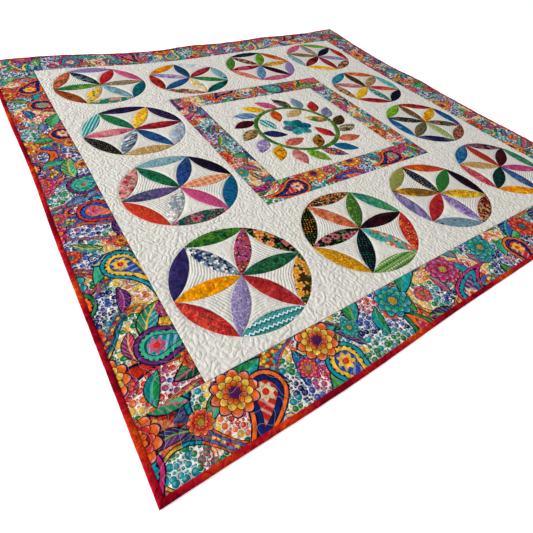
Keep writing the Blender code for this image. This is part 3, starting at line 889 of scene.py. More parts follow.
@node_group({"Cloth": "Vector", "Pitch": "Float"}, MOTIF_OUTPUTS)
def ribbon_motif(cloth, pitch):
    """Winding ribbons along the middle values of a slow noise, so they are wide where it changes slowly.
    Their barred rims are outlined, their cores are set with shells, and beads run along the middle."""
    half = abs(noise(cloth, 1.0 / pitch, 1.0, 0.35, 0.7) - 0.5)
    tone = noise(cloth, 5.0, 0.0) * 2.4 - 0.7
    bars = abs(reckon("SINE", noise(vector_sum(cloth, (3.1, 1.7, 0.0)), 7.0, 1.0) * 150.0))
    rim = dye_by(tone, "tangerine peacock sunflower scarlet")
    rim = over(rim, darkened(rim, 0.45), soft_step(bars, 0.70, 0.85))
    core = dye_by(tone, "cobalt grape indigo tangerine magenta emerald")
    core = over(darkened(core, 0.62), over(core, dye("white"), bars * 0.16), clamshell(cloth))
    away, own, _ = scattered(cloth, 0.0075, 0.5)
    bead = dye_by(split(own)[0], "tangerine sunflower mint scarlet sunflower")
    bead = over(darkened(bead, 0.72), bead, soft_step(away, 0.50, 0.34))
    colour = layered(
        dye("midnight"),
        (rim, soft_step(half, 0.034, 0.032)),
        (dye("midnight"), soft_step(half, 0.026, 0.024)),
        (core, soft_step(half, 0.023, 0.021)),
        (bead, soft_step(half, 0.009, 0.007)),
    )
    return colour, soft_step(half, 0.038, 0.036)


@node_group(MOTIF_INPUTS, MOTIF_OUTPUTS)
def curl_motif(cloth, pitch, size):
    """Curls scattered a pitch apart: a line round and round, where the distance counted in turns less the
    share of the angle is near a whole number."""
    way, spin, side, tone = strewn(cloth, pitch, 0.50)
    x, y, _ = split(way)
    away = length(x, y) / size
    turn = reckon("ARCTAN2", y, x * reckon("SIGN", side - 0.5)) / FULL_TURN + spin
    line = abs(fraction(away * 2.6 - turn + 4.5) - 0.5)
    colour = dye_by(tone, "cobalt scarlet indigo peacock fuchsia emerald")
    return colour, soft_step(line, 0.19, 0.13) * soft_step(away, 1.0, 0.94)


@node_group({"Cloth": "Vector"}, {"Colour": "Color"})
def dotted_ground(cloth):
    """White set close with dots of two sizes, in patches of one dye. Each dot is darker at its rim and a
    little paler at one side, as if painted. The larger ones have a white ring round them."""
    colour = dye("white")
    for pitch, least, spread, ring in ((0.0058, 0.33, 0.12, 0.0), (0.0125, 0.31, 0.20, 1.0)):
        away, own, at = scattered(cloth, pitch, 0.66)
        size, shade, stray = split(own)
        zone = fraction(noise(at, 8.0, 1.0) * 1.9 + (stray - 0.5) * 0.10 + 0.35)
        edge = size * spread + least
        x, y, _ = split(scaled(vector_sum(cloth, at, "SUBTRACT"), 1.0 / pitch))
        spot = dye_by(zone, "cobalt indigo peacock emerald sunflower tangerine scarlet magenta cobalt")
        spot = darkened(spot, soft_step(away / edge, 0.50, 1.0) * 0.30 + shade * 0.15)
        spot = over(spot, dye("white"), soft_step(length(x + 0.10, y - 0.10), 0.24, 0.06) * 0.22)
        colour = over(colour, dye("white"), soft_step(away, edge + 0.07, edge + 0.04) * ring)
        colour = over(colour, spot, soft_step(away, edge + 0.02, edge - 0.02))
    return colour


@node_group({"Cloth": "Vector"}, {"Colour": "Color"})
def printed_cotton(cloth):
    """The print of the border and frame, of common motifs on dots: winding ribbons, then curls, leaves,
    small dahlias, bent teardrops and large dahlias on top, with the dye a little uneven."""
    ribbon, mask = ribbon_motif(vector_sum(cloth, (0.3, 0.8, 0.0)), 0.19)
    colour = over(dotted_ground(cloth), ribbon, mask)
    for motif, pitch, size, shift in (
        (curl_motif, 0.105, 0.0150, (0.47, 0.33, 0.0)),
        (leaf_motif, 0.082, 0.056, (0.31, 0.12, 0.0)),
        (leaf_motif, 0.125, 0.084, (0.83, 0.42, 0.0)),
        (dahlia_motif, 0.100, 0.0200, (0.07, 0.55, 0.0)),
        (teardrop_motif, 0.180, 0.155, (0.23, 0.91, 0.0)),
        (dahlia_motif, 0.165, 0.0390, (0.61, 0.27, 0.0)),
    ):
        colour = over(colour, *motif(vector_sum(cloth, shift), pitch, size))
    return darkened(colour, patches(cloth, 120.0, 0.35, 0.65) * 0.22)


def white_cotton(read):
    """White cotton, quilted. quilting holds the distance to the wandering line, the distance from the rim
    petal counted in rows of stitches, and 1 in a wheel or 0 outside it. The relief deepens to the right and
    to the far side."""
    cloth = read("cloth")
    x, y, _ = split(cloth)
    meander, echo, in_wheel = split(read("quilting"))
    drift = (noise(cloth, 26.0, 1.0) - 0.5) * 0.9
    row = abs(fraction(echo + drift + 10.5) - 0.5) * ECHO_SPACING
    stitch = abs(meander) + in_wheel * (row - abs(meander))
    uneven = soft_step(noise(vector_sum(cloth, (2.0, 5.0, 0.0)), 52.0, 1.0), 0.34, 0.62)
    depth = (uneven * 0.0007 + 0.0002) * (1.0 - in_wheel) + in_wheel * 0.0010
    right = soft_step(x, -0.20, 0.40)
    depth = depth * (right * 0.9 + soft_step(y, 0.10, 0.60) * 0.4 + 1.0)
    normal, line = sewn_surface(cloth, stitch, depth, 0.0009, right * 0.0014 + 0.0028)
    colour = darkened(dye("cotton"), noise(cloth, 9.0, 2.0) * 0.10)
    # Painted shade: the cotton is darkened towards taupe along the stitch lines for the shade in their
    # grooves, more so in the wheels.
    return over(colour, dye("taupe"), line * (in_wheel * 0.16 + 0.05)), normal


def print_cotton(read):
    """The printed cotton, with fine pale quilting thread in wide arcs, and painted shade darkening the print
    along the stitch lines.
    """
    cloth = read("cloth")
    stitch = abs(split(read("quilting"))[0])
    normal, line = sewn_surface(cloth, stitch, 0.00070, 0.0016, 0.0030)
    # Painted shade: the print is darkened along the stitch lines for the shade in their grooves.
    colour = darkened(printed_cotton(cloth), line * 0.18)
    return over(colour, dye("lilac"), soft_step(stitch, 0.00045, 0.00020) * 0.45), normal


def binding_batik(read):
    """Red batik that runs from maroon through crimson to orange along the strip, in slow sines."""
    cloth = read("cloth")
    x = split(cloth)[0]
    slow = reckon("SINE", x * 19.0 + 0.9) + reckon("SINE", x * 45.0 + 5.5) * 0.8
    wide = slow * 0.23 + (noise(cloth, 60.0, 4.0, 0.65, 1.2) - 0.5) * 1.2 + 0.48
    colour = layered(
        dye("cherry"),
        (dye("garnet"), soft_step(wide, 0.44, 0.20) * 0.90),
        (dye("vermilion"), soft_step(wide, 0.56, 0.72) * 0.90),
        (dye("tangerine"), soft_step(wide, 0.78, 0.98) * 0.55),
    )
    normal, _ = sewn_surface(cloth, 1.0, 0.0, 0.0014, 0.0012)
    return darkened(colour, patches(cloth, 150.0, 0.45, 0.65, 2.0) * 0.25), normal


def backing_cotton(read):
    """Cream cotton under the quilt, where quilting lines show as shallow grooves, with painted shade
    darkening the cloth along them.
    """
    cloth = read("cloth")
    stitch = abs(noise(cloth, 62.0, 0.0) - 0.5) * 0.045
    normal, line = sewn_surface(cloth, stitch, 0.00050, 0.0008, 0.0016)
    colour = over(dye("cream"), dye("white"), noise(cloth, 6.0, 2.0) * 0.5 + 0.3)
    # Painted shade: darker along the quilting lines for the shade in their grooves.
    return darkened(colour, line * 0.12), normal


def soft_bump(u, v, at_u, at_v, reach_u, reach_v):
    """A squared cosine in each direction: 1 in its middle, and smoothly 0 at its reach and beyond."""
    across = np.clip(np.abs(u - at_u) / reach_u, 0.0, 1.0)
    along = np.clip(np.abs(v - at_v) / reach_v, 0.0, 1.0)
    return (np.cos(0.5 * math.pi * across) * np.cos(0.5 * math.pi * along)) ** 2


def drawn(u, v):
    """The pattern's points moved in its own plane by DRAWS."""
    x = u
    y = v
    for *bump, move_u, move_v in DRAWS:
        amount = soft_bump(u, v, *bump)
        x = x + move_u * amount
        y = y + move_v * amount
    return x, y


def outline_middle():
    """The middle of the outline's box after DRAWS, which is the model's origin."""
    along = np.linspace(-QUILT_HALF, QUILT_HALF, 400)
    edge = np.full_like(along, QUILT_HALF)
    x, y = drawn(np.concatenate([along, along, edge, -edge]), np.concatenate([edge, -edge, along, along]))
    return 0.5 * (x.min() + x.max()), 0.5 * (y.min() + y.max())


MIDDLE = outline_middle()


def lay(u, v, level):
    """Where points of the pattern lie, level above the quilt's underside."""
    x, y = drawn(u, v)
    height = level
    for *bump, top in SWELLS:
        height = height + top * soft_bump(u, v, *bump)
    return np.stack([x - MIDDLE[0], y - MIDDLE[1], height], axis=-1)


def stitch_waves(u, v, wave, seed):
    """The signed distance to the nearest line of a wandering stitch. A sum of plane waves of nearly one
    length, in all directions, is 0 along lines that wander and never cross. Its value over its slope is the
    distance."""
    rng = np.random.default_rng(seed)
    heading = FULL_TURN * (np.arange(WAVE_COUNT) + rng.random(WAVE_COUNT)) / WAVE_COUNT
    number = FULL_TURN / (wave * (1.0 + WAVE_SPREAD * rng.standard_normal(WAVE_COUNT)))
    phase = FULL_TURN * rng.random(WAVE_COUNT)
    value = np.zeros_like(u)
    slope_u = np.zeros_like(u)
    slope_v = np.zeros_like(u)
    for direction, k, start in zip(heading, number, phase):
        angle = k * (u * math.cos(direction) + v * math.sin(direction)) + start
        value += np.cos(angle)
        slope_u -= k * math.cos(direction) * np.sin(angle)
        slope_v -= k * math.sin(direction) * np.sin(angle)
    usual = number.mean() * math.sqrt(0.5 * WAVE_COUNT)
    distance = value / np.sqrt(slope_u**2 + slope_v**2 + (0.35 * usual) ** 2)
    return np.clip(distance, -STITCH_FAR, STITCH_FAR)


def waver(u, v, seed):
    """A slow unevenness between about -1 and 1: sines 30 to 80 mm long in random directions, added up."""
    headings, phases = np.random.default_rng(seed).uniform(0.0, 6.28, (2, 6))
    total = np.zeros_like(u)
    for wave, heading, phase in zip(np.linspace(0.030, 0.080, 6), headings, phases):
        total += np.sin(FULL_TURN * (u * math.cos(heading) + v * math.sin(heading)) / wave + phase)
    return total / 2.4


def ripple(t, waves, phase):
    """So many sine waves along a length on which t runs from 0 to 1."""
    return np.sin(FULL_TURN * waves * t + phase)


def dip(distance, reach, share=1.0):
    """1 away from a line, and a share less at it: 1 minus a bell curve of the distance."""
    return 1.0 - share * np.exp(-((distance / reach) ** 2))


def edge_distance(u, v):
    """How far each point of a grid lies inside the grid's own outline."""
    return np.minimum.reduce([u - u.min(), u.max() - u, v - v.min(), v.max() - v])


def seam_dip(u, v):
    """A grid's share of its puff, less along the seams round it."""
    return dip(edge_distance(u, v), SEAM_REACH, SEAM_SHARE)


def triples(x, y, z=0.0):
    """Three numbers for each point of a grid."""
    return np.stack(np.broadcast_arrays(x, y, z), axis=-1)


def headed(along, aside, heading, start=(0.0, 0.0)):
    """Where points lie that are so far along a heading from the start, and so far aside of it."""
    return (
        start[0] + along * math.cos(heading) - aside * math.sin(heading),
        start[1] + along * math.sin(heading) + aside * math.cos(heading),
    )


def cut_cloth(u_span, v_span, cells, inset=0.5 * SEAM_GAP):
    """A grid of points over a rectangle of the pattern, an inset inside its edges, and the grid's size."""
    u_lines, v_lines = (
        np.linspace(low + inset, high - inset, count + 1)
        for (low, high), count in zip((u_span, v_span), np.broadcast_to(cells, 2))
    )
    u, v = np.meshgrid(u_lines, v_lines, indexing="ij")
    return u, v, (u_lines[-1] - u_lines[0], v_lines[-1] - v_lines[0])


def grid_faces(rows, columns, start=0):
    """Quads of a grid of rows x columns points, each anticlockwise from above."""
    i, j = np.meshgrid(np.arange(rows - 1), np.arange(columns - 1), indexing="ij")
    corner = start + i.ravel() * columns + j.ravel()
    return np.stack([corner, corner + columns, corner + columns + 1, corner + 1], axis=1)


def outline_ring(rows, columns, start=0):
    """The points round a grid of rows x columns, in order, anticlockwise from above."""
    near = np.arange(rows) * columns
    right = (rows - 1) * columns + np.arange(1, columns)
    back = np.arange(rows - 2, -1, -1) * columns + columns - 1
    left = np.arange(columns - 2, 0, -1)
    return start + np.concatenate([near, right, back, left])


def put_piece(name, points, faces, materials, slot, nodes, face_material=None, **attributes):
    """Makes a mesh object of points and faces, smooth, with vector or colour attributes on its points.
    face_material numbers each face's material, where there are several."""
    mesh = bpy.data.meshes.new(name)
    places = np.asarray(points).reshape(-1, 3).tolist()
    mesh.from_pydata(places, [], [list(map(int, face)) for face in faces])
    for label, values in attributes.items():
        kind, field = ("FLOAT_COLOR", "color") if values.shape[-1] == 4 else ("FLOAT_VECTOR", "vector")
        attribute = mesh.attributes.new(label, kind, "POINT")
        attribute.data.foreach_set(field, np.ascontiguousarray(values, np.float32).ravel())
    for material in materials:
        mesh.materials.append(material)
    if face_material is not None:
        mesh.polygons.foreach_set("material_index", np.asarray(face_material, np.int32))
    mesh.shade_smooth()
    mesh.update()
    piece = bpy.data.objects.new(name, mesh)
    bpy.context.scene.collection.objects.link(piece)
    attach(piece, "root")
    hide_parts(*nodes)
    return piece


def wheel_middle(name):
    """A wheel's middle, and the way that its first petal points."""
    column, row, first, turn, shift_u, shift_v, _ = WHEELS[name]
    return (column - 1.5) * BLOCK + shift_u, (row - 1.5) * BLOCK + shift_v, math.radians(first + turn)


def petal_distances(u, v, name):
    """How far each point lies outside the wheel's petals, how far from the rim petal on the hub's side, the
    number of its gap, and whether it is in the wheel. A petal is where two circles of the wheel's radius
    overlap, so its distance is the larger of the two; turning the point into the nearest sixth makes one
    petal stand for all six."""
    at_u, at_v, first = wheel_middle(name)
    away = np.hypot(u - at_u, v - at_v)
    angle = np.arctan2(v - at_v, u - at_u) - first
    near_petal = angle - SIXTH * np.round(angle / SIXTH)
    x = away * np.cos(near_petal)
    y = np.abs(away * np.sin(near_petal))
    from_hub_petal = np.hypot(x - 0.5 * WHEEL_RADIUS, y + WHEEL_RADIUS * math.sin(SIXTH)) - WHEEL_RADIUS
    in_gap = np.mod(angle, SIXTH) - 0.5 * SIXTH
    far = 2.0 * WHEEL_RADIUS * math.cos(0.5 * SIXTH)
    from_rim_arc = np.hypot(away * np.cos(in_gap) - far, away * np.sin(in_gap)) - WHEEL_RADIUS
    from_rim_petal = np.maximum(away - WHEEL_RADIUS, from_rim_arc)
    gap = np.mod(np.floor(angle / SIXTH), 6).astype(int)
    return np.minimum(from_hub_petal, from_rim_petal), from_rim_arc, gap, away < WHEEL_RADIUS


def background_blocks(material):
    """Twelve white blocks. Their height is a valley at every stitch line, petal and seam, and puffs up
    between."""
    cuts = (-FIELD_HALF, -FRAME_OUTER_HALF, 0.0, FRAME_OUTER_HALF, FIELD_HALF)
    for name, (column, row, *_, plain_gaps) in WHEELS.items():
        u, v, size = cut_cloth(cuts[column : column + 2], cuts[row : row + 2], BLOCK_CELLS)
        outside, echo, gap, in_wheel = petal_distances(u, v, name)
        meander = stitch_waves(u, v, MEANDER_WAVE, MEANDER_SEED)
        plain = np.isin(gap, plain_gaps) & in_wheel
        echo = echo + ECHO_WAVER * waver(u, v, ECHO_SEED + column + 4 * row)
        echo = np.where(plain, 0.5, echo / ECHO_SPACING)
        puffed = dip(meander, VALLEY_REACH, VALLEY_SHARE)
        puffed = np.where(in_wheel, np.where(plain, 1.0, WHEEL_PUFF_SHARE), puffed)
        ditch = dip(np.maximum(outside, 0.0), np.where(in_wheel, WHEEL_DITCH_REACH, DITCH_REACH))
        block = put_piece(
            f"block_{name}",
            lay(u, v, VALLEY + PUFF * puffed * ditch * seam_dip(u, v)),
            grid_faces(*u.shape),
            [material],
            "white_cotton",
            ["background_blocks"],
            cloth=triples(u, v),
            quilting=triples(meander, echo, in_wheel),
        )


def leaf_half_width(width):
    """A leaf's half width along it: a skewed sine, rounded at the foot and pointed at the tip."""
    return lambda t: 0.5 * width * np.sin(math.pi * np.clip(t, 0.0, 1.0) ** LEAF_SKEW) ** LEAF_SKEW


def leaf_place(angle, turn, outwards, size):
    """The leaf's middle and heading, seated just clear of the stem as its solid is: its outline is moved
    along the radius until the nearest of its corners and the middles of its sides is at the stem's edge."""
    along = np.linspace(0.0, 1.0, LEAF_SEATING_CELLS + 1)
    half = leaf_half_width(size[1])(along)
    half[[0, -1]] = 0.0
    there = np.concatenate([along, along[-2:0:-1]]) * size[0] - 0.5 * size[0]
    aside = np.concatenate([half, -half[-2:0:-1]])
    radius_heading = math.radians(angle)
    heading = math.radians(angle + turn) + (0.0 if outwards > 0 else math.pi)
    outline = headed(there, aside, heading)
    limit = STEM_RADIUS + outwards * (0.5 * STEM_WIDTH + LEAF_CLEARANCE)
    reach = STEM_RADIUS + outwards * 0.5 * size[0]
    for _ in range(SEATING_STEPS):
        x, y = headed(reach, 0.0, radius_heading, outline)
        middles = np.hypot(0.5 * (x + np.roll(x, 1)), 0.5 * (y + np.roll(y, 1)))
        radii = np.concatenate([np.hypot(x, y), middles])
        reach += limit - outwards * (outwards * radii).min()
    return headed(reach, 0.0, radius_heading, WREATH_MIDDLE), heading


def wreath_leaves():
    """Every leaf as name, middle, heading, size and cloth."""
    for k, (angle, turn, cloth) in enumerate(OUTER_LEAVES):
        yield f"outer_leaf_{k + 1:02d}", *leaf_place(angle, turn, 1, OUTER_LEAF), OUTER_LEAF, cloth
    for k, (angle, turn, cloth) in enumerate(INNER_LEAVES):
        yield f"inner_leaf_{k + 1}", *leaf_place(angle, turn, -1, INNER_LEAF), INNER_LEAF, cloth


def wreath_distance(u, v):
    """How far each point lies outside the wreath's stem, leaves and flower."""
    x = u - WREATH_MIDDLE[0]
    y = v - WREATH_MIDDLE[1]
    away = np.hypot(x, y)
    nearest = np.abs(away - STEM_RADIUS) - 0.5 * STEM_WIDTH
    petal = np.abs(np.cos(3.0 * (np.arctan2(y, x) - math.radians(FLOWER_TURN))))
    nearest = np.minimum(nearest, away - FLOWER_RADIUS * (0.66 + 0.34 * petal**0.7))
    for _, (at_u, at_v), heading, size, _ in wreath_leaves():
        along, aside = headed(u - at_u, v - at_v, -heading)
        aside = np.abs(aside)
        on_axis = np.clip(along, -0.5 * size[0], 0.5 * size[0])
        half = leaf_half_width(size[1])(on_axis / size[0] + 0.5)
        outside = np.hypot(np.maximum(aside - half, 0.0), along - on_axis)
        nearest = np.minimum(nearest, np.where(outside > 0.0, outside, aside - half))
    return nearest


def middle_square(material):
    """The white square in the middle, with a valley round the wreath as well."""
    inner = (-FRAME_INNER_HALF, FRAME_INNER_HALF)
    u, v, _ = cut_cloth(inner, inner, MIDDLE_CELLS)
    meander = stitch_waves(u, v, MEANDER_WAVE, MEANDER_SEED)
    puffed = dip(meander, VALLEY_REACH, VALLEY_SHARE)
    ditch = dip(np.maximum(wreath_distance(u, v), 0.0), DITCH_REACH)
    piece = put_piece(
        "middle_cotton",
        lay(u, v, VALLEY + PUFF * puffed * ditch * seam_dip(u, v)),
        grid_faces(*u.shape),
        [material],
        "white_cotton",
        ["middle_square"],
        cloth=triples(u, v),
        quilting=triples(meander, 0.0),
    )


def print_strips(prefix, inner_half, outer_half, material, first_cut):
    """Four printed strips round a square: the near and far ones run the whole width, the others between.
    Each is cut from its own place along the print, and first_cut is where the first one starts."""
    low = (-outer_half, -inner_half)
    high = (inner_half, outer_half)
    whole = (-outer_half, outer_half)
    inner = (-inner_half, inner_half)
    spans = {"near": (whole, low), "far": (whole, high), "left": (low, inner), "right": (high, inner)}
    for k, (side, (u_span, v_span)) in enumerate(spans.items()):
        cells = [round((span[1] - span[0] - SEAM_GAP) / PRINT_CELL) for span in (u_span, v_span)]
        u, v, size = cut_cloth(u_span, v_span, cells)
        arc = stitch_waves(u, v, ARC_WAVE, ARC_SEED)
        edge = edge_distance(u, v)
        level = VALLEY + PRINT_PUFF_SHARE * PUFF * dip(arc, ARC_REACH) * dip(edge, PRINT_EDGE_REACH)
        level = level - SEAM_DROP * (1.0 - dip(edge, SEAM_DROP_REACH))
        along, across = (u, v) if side in ("near", "far") else (v, u)
        strip = put_piece(
            f"{prefix}_print_{side}",
            lay(u, v, level),
            grid_faces(*u.shape),
            [material],
            "print_cotton",
            [f"{prefix}_{side}"],
            cloth=triples(along + NEXT_CUT[0] * k + first_cut, across - across.min() + NEXT_CUT[1] * k),
            quilting=triples(arc, 0.0),
        )


def turned_edge_piece(size, half_width, crown, rng):
    """One applique piece on a grid, from its foot at 0 to its tip: places along and aside, and height.

    Aside runs across the outline's half width. Its outer millimetre is the fold where the edge turns under,
    a steep rise to the shoulder. From there a parabola rises to the centre line, less near the two ends.
    Low sines make the hand-sewn outline and the crown a little uneven.
    """
    ends = np.array([0.0, 0.008])
    t = np.concatenate([ends, np.linspace(0.03, 0.97, PETAL_ROWS), 1.0 - ends[::-1]])[:, None]
    phase = FULL_TURN * rng.random(6)
    hump = np.sin(math.pi * t)
    uneven = EDGE_WAVER * ripple(t, 2.3, phase[0]) + EDGE_RIPPLE * ripple(t, 6.0, phase[1])
    half = np.maximum(half_width(t) + uneven * hump, PETAL_BLUNT)
    drift = AXIS_DRIFT * hump * ripple(t, 1.0, phase[2])
    fold = np.minimum(PETAL_FOLD, 0.45 * half)
    inner = np.linspace(-1.0, 1.0, PETAL_COLUMNS) * (half - fold)
    on_fold = half - 0.3 * fold
    aside = np.hstack([-half, -on_fold, inner, on_fold, half])
    share = aside / half
    height = SHOULDER + crown * (1.0 - share**2) * hump**0.6
    height = height + CROWN_LUMPS * hump * (ripple(t, 5.0, phase[3]) * share + ripple(t, 3.0, phase[4]))
    height[:, [1, -2]] *= FOLD_HEIGHT_SHARE
    height[[1, -2], :] *= FOLD_HEIGHT_SHARE
    height[:, [0, -1]] = 0.0
    height[[0, -1], :] = 0.0
    return np.broadcast_to(t * size, aside.shape), aside + drift, height


class Applique:
    """Gathers turned-edge pieces of several cloths into one object."""

    def __init__(self, seed):
        self.rng = np.random.default_rng(seed)
        self.points = []
        self.cloth = []
        self.dyes = {label: [] for label in DYE_LABELS}
        self.faces = []
        self.face_kinds = []
        self.kinds = []
        self.count = 0

    def add(self, foot, heading, size, half_width, crown, cloth):
        """A piece whose foot is at a place and whose tip lies in the heading. cloth is its kind and dyes."""
        kind, *names = cloth.split()
        along, aside, height = turned_edge_piece(size, half_width, crown, self.rng)
        self.points.append(lay(*headed(along, aside, heading, foot), APPLIQUE_BASE + height).reshape(-1, 3))
        leans = (-ROW_LEAN, ROW_LEAN) if kind in ROW_KINDS else (0.0, FULL_TURN)
        lean = self.rng.uniform(*leans)
        shift = self.rng.uniform(0.0, 9.0, 2)
        self.cloth.append(triples(*headed(along, aside, lean, shift)).reshape(-1, 3))
        for label, name in zip(DYE_LABELS, names):
            self.dyes[label].append(np.tile(dye(name), (along.size, 1)))
        if kind not in self.kinds:
            self.kinds.append(kind)
        bottom = outline_ring(*along.shape, self.count)[::-1]
        faces = [*grid_faces(*along.shape, self.count).tolist(), bottom.tolist()]
        self.faces += faces
        self.face_kinds += [self.kinds.index(kind)] * len(faces)
        self.count += along.size

    def sew(self, name, slot, nodes, cottons, flat):
        """Puts in everything gathered, as one object."""
        piece = put_piece(
            name,
            np.concatenate(self.points),
            self.faces,
            [cottons[kind] for kind in self.kinds],
            slot,
            nodes,
            self.face_kinds,
            cloth=np.concatenate(self.cloth),
            **{label: np.concatenate(values) for label, values in self.dyes.items()},
        )


def petal_half_width(t):
    """A petal's half width along it: where two circles of the wheel's radius overlap."""
    along = (np.clip(t, 0.0, 1.0) - 0.5) * WHEEL_RADIUS
    return np.sqrt(WHEEL_RADIUS**2 - along**2) - WHEEL_RADIUS * math.sin(SIXTH)


def wheels(cottons):
    """Twelve wheels, each of six petals from the hub and six along the rim."""
    across = 2.0 * WHEEL_RADIUS
    for order, (name, cloths) in enumerate(WHEEL_CLOTHS.items()):
        *hub, first = wheel_middle(name)
        wheel = Applique(WHEEL_SEED + order)
        for k, cloth in enumerate(cloths.split(",")):
            start = first + k % 6 * SIXTH
            at_rim = k // 6
            foot = headed(at_rim * WHEEL_RADIUS, 0.0, start, hub)
            heading = start + at_rim * 2.0 * SIXTH
            wheel.add(foot, heading, WHEEL_RADIUS, petal_half_width, PETAL_CROWN, cloth)
        wheel.sew(f"petals_{name}", "wheel_cottons", [f"wheel_{name}"], cottons, (across, across))


def leaves(cottons):
    """The wreath's leaves, each a piece by itself."""
    for order, (name, middle, heading, size, cloth) in enumerate(wreath_leaves()):
        leaf = Applique(LEAF_SEED + order)
        half_width = leaf_half_width(size[1])
        foot = headed(-0.5 * size[0], 0.0, heading, middle)
        leaf.add(foot, heading, size[0], half_width, LEAF_CROWN, cloth)
        area = 2.0 * size[0] * half_width(np.linspace(0.0, 1.0, 200)).mean()
        leaf.sew(f"{name}_cotton", "leaf_cottons", [name], cottons, size)


def lobe_half_width(t, full):
    """A flower lobe's half width: it widens as a sixth of a circle does, a little more or less full, then
    closes in a curve to a blunt tip."""
    wide = full * FLOWER_RADIUS * math.tan(0.5 * SIXTH) * np.minimum(t, LOBE_SHOULDER)
    past = np.clip((t - LOBE_SHOULDER) / (1.0 - LOBE_SHOULDER), 0.0, 1.0)
    return wide * (1.0 - past**1.8) ** 0.85


def flower(cottons):
    """The flower in the middle: six lobes that meet at its centre, none quite like the next."""
    bloom = Applique(FLOWER_SEED)
    rng = np.random.default_rng(LOBE_SEED)
    for k, cloth in enumerate(FLOWER_LOBES):
        heading = math.radians(FLOWER_TURN + rng.uniform(-LOBE_STRAY, LOBE_STRAY)) + k * SIXTH
        reach = FLOWER_RADIUS * rng.uniform(*LOBE_REACHES)
        full = rng.uniform(*LOBE_FULLNESS)
        bloom.add(WREATH_MIDDLE, heading, reach, lambda t: lobe_half_width(t, full), LEAF_CROWN, cloth)
    usual = 0.5 * sum(LOBE_FULLNESS)
    area = 12.0 * FLOWER_RADIUS * lobe_half_width(np.linspace(0.0, 1.0, 200), usual).mean()
    across = 2.0 * FLOWER_RADIUS
    bloom.sew("centre_flower", "flower_teal", ["wreath_flower"], cottons, (across, across))


def stem(cottons):
    """The stem: a low arch carried round a ring that is not quite round, closed below."""
    arch_aside = np.array([-1.0, -0.86, -0.5, 0.0, 0.5, 0.86, 1.0])
    arch_height = np.array([0.0, 0.75, 1.25, 1.45, 1.25, 0.75, 0.0]) * SHOULDER
    angle = FULL_TURN * np.arange(STEM_STATIONS)[:, None] / STEM_STATIONS
    radius = STEM_RADIUS + STEM_SWAYS[0] * np.sin(2.0 * angle + 0.6)
    radius = radius + STEM_SWAYS[1] * np.sin(5.0 * angle + 2.0)
    uneven = 1.0 + 0.06 * np.sin(4.0 * angle) + 0.04 * np.sin(11.0 * angle + 1.0)
    half = STEM_FULLNESS * STEM_WIDTH * uneven
    away = radius + half * arch_aside
    u = WREATH_MIDDLE[0] + away * np.cos(angle)
    v = WREATH_MIDDLE[1] + away * np.sin(angle)
    number = np.arange(u.size).reshape(u.shape)
    beside = np.roll(number, -1, axis=1)
    faces = np.stack([number, beside, np.roll(beside, -1, axis=0), np.roll(number, -1, axis=0)], axis=-1)
    dyes = zip(DYE_LABELS, ("moss", "leaf", "olive"))
    piece = put_piece(
        "stem_ring",
        lay(u, v, APPLIQUE_BASE + STEM_LIFT + arch_height),
        faces.reshape(-1, 4),
        [cottons["mottle"]],
        "stem_green",
        ["wreath_stem"],
        cloth=triples(angle * STEM_RADIUS, away - STEM_RADIUS + 4.0),
        **{label: np.tile(dye(name), (u.size, 1)) for label, name in dyes},
    )


def binding(material):
    """Four strips wrapped over the edge: a C-shaped profile carried along each side and mitred at the
    corners, where each point of the profile stops as far along as it lies out."""
    inner = QUILT_HALF - BINDING_WIDTH
    out = np.array([-0.03, -0.07, -0.04, 0.11, 0.38, 0.66, 0.85, 0.96, 1.0, 0.96, 0.85, 0.45, 0.04])
    out = BINDING_WIDTH * out
    level = np.array([2.5, 3.1, 3.8, 4.5, 4.9, 4.8, 4.2, 3.1, 2.0, 0.8, 0.1, 0.0, 0.0]) * 0.001
    s = np.linspace(-1.0, 1.0, BINDING_STATIONS)[:, None]
    girth = np.concatenate([[0.0], np.cumsum(np.hypot(np.diff(out), np.diff(level)))])
    free = np.clip(level / BINDING_FREE_LEVEL, 0.0, 1.0)
    for k, (side, way, start, rough) in enumerate(BINDING_SIDES):
        phase = FULL_TURN * np.random.default_rng(BINDING_SEED + k).random(8)
        slow = ripple(s, 9.0, phase[0]) + ripple(s, 16.0, phase[1])
        quick = ripple(s, 31.0, phase[2]) + ripple(s, 47.0, phase[3])
        lift = rough * (BINDING_LIFTS[0] * slow + BINDING_LIFTS[1] * quick)
        sway = rough * (BINDING_SWAYS[0] * slow + BINDING_SWAYS[1] * quick)
        along = s * (inner + out)
        u, v = along, -(inner + out + sway * free)
        for _ in range(k):
            u, v = -v, u
        strip = put_piece(
            f"binding_cloth_{side}",
            lay(u, v, level + lift * free),
            grid_faces(*u.shape),
            [material],
            "binding_batik",
            [f"binding_{side}"],
            cloth=triples(way * along + start, girth),
        )


def padding(material):
    """The batting and backing: two grids with a wall between them, under everything."""
    whole = (-QUILT_HALF, QUILT_HALF)
    u, v, _ = cut_cloth(whole, whole, PADDING_CELLS, PADDING_INSET)
    ring = outline_ring(*u.shape)
    after = np.roll(ring, -1)
    wall = np.stack([ring + u.size, after + u.size, after, ring], axis=1)
    piece = put_piece(
        "padding",
        np.stack([lay(u, v, PADDING_TOP), lay(u, v, PADDING_LOW)]),
        np.concatenate([grid_faces(*u.shape), grid_faces(*u.shape, u.size)[:, ::-1], wall]),
        [material],
        "backing",
        ["quilt_body"],
        cloth=np.stack([triples(u, v), triples(u, v)]),
    )


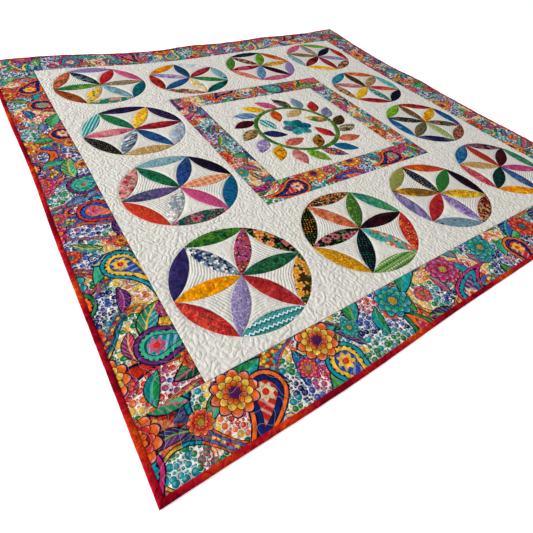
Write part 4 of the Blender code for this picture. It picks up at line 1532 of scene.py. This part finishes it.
def floor_and_light():
    """A plain pale floor, a large soft light from the left, a weaker one, and an even sky."""
    mesh = bpy.data.meshes.new("floor")
    corners = [(x * FLOOR_REACH, y * FLOOR_REACH, 0.0) for x, y in ((-1, -1), (1, -1), (1, 1), (-1, 1))]
    mesh.from_pydata(corners, [], [(0, 1, 2, 3)])
    material = bpy.data.materials.new("floor_pale")
    material.use_nodes = True
    shader = material.node_tree.nodes["Principled BSDF"]
    shader.inputs["Base Color"].default_value = (0.94, 0.94, 0.94, 1.0)
    shader.inputs["Roughness"].default_value = 0.9
    shader.inputs["Specular IOR Level"].default_value = 0.1
    shader.inputs["Emission Color"].default_value = WHITE
    shader.inputs["Emission Strength"].default_value = FLOOR_GLOW
    mesh.materials.append(material)
    floor = bpy.data.objects.new("floor", mesh)
    bpy.context.scene.collection.objects.link(floor)
    world = bpy.data.worlds.new("even_sky")
    world.use_nodes = True
    background = world.node_tree.nodes["Background"]
    background.inputs["Color"].default_value = (0.95, 0.97, 1.0, 1.0)
    background.inputs["Strength"].default_value = SKY_STRENGTH
    bpy.context.scene.world = world
    bpy.context.scene.view_settings.view_transform = "Standard"
    for name, place, power, side, colour in LIGHTS:
        light = bpy.data.lights.new(name, "AREA")
        light.energy = power
        light.size = side
        light.color = colour
        lamp = bpy.data.objects.new(name, light)
        lamp.location = place
        lamp.rotation_mode = "QUATERNION"
        lamp.rotation_quaternion = lamp.location.to_track_quat("Z", "Y")
        bpy.context.scene.collection.objects.link(lamp)


def camera():
    """A camera at the photograph's place, turn and focal length."""
    forward = np.array(CAMERA_FORWARD) / np.linalg.norm(CAMERA_FORWARD)
    right = np.cross(forward, CAMERA_UP)
    right = right / np.linalg.norm(right)
    up = np.cross(right, forward)
    data = bpy.data.cameras.new("photo_camera")
    data.sensor_fit = "HORIZONTAL"
    data.sensor_width = SENSOR_MM
    data.lens = PHOTO_FOCAL * SENSOR_MM / PHOTO_SIDE
    data.shift_x = (0.5 * PHOTO_SIDE - PHOTO_MIDDLE[0]) / PHOTO_SIDE
    data.shift_y = (PHOTO_MIDDLE[1] - 0.5 * PHOTO_SIDE) / PHOTO_SIDE
    seen = bpy.data.objects.new("photo_camera", data)
    place = (CAMERA_PLACE[0] - MIDDLE[0], CAMERA_PLACE[1] - MIDDLE[1], CAMERA_PLACE[2])
    turn = Matrix(np.stack([right, up, -forward], axis=1).tolist())
    seen.matrix_world = Matrix.Translation(place) @ turn.to_4x4()
    bpy.context.scene.collection.objects.link(seen)
    bpy.context.scene.camera = seen


def dress_quilt():
    """Every piece of the quilt, from the padding up."""
    white = cotton("white_cotton", white_cotton)
    printed = cotton("print_cotton", print_cotton)
    cottons = applique_cottons()
    padding(cotton("backing_cotton", backing_cotton))
    background_blocks(white)
    middle_square(white)
    print_strips("frame", FRAME_INNER_HALF, FRAME_OUTER_HALF, printed, FRAME_CUT)
    print_strips("border", FIELD_HALF, QUILT_HALF - BINDING_WIDTH + BORDER_TUCK, printed, BORDER_CUT)
    binding(cotton("binding_batik", binding_batik))
    wheels(cottons)
    stem(cottons)
    leaves(cottons)
    flower(cottons)


dress_quilt()
floor_and_light()
camera()
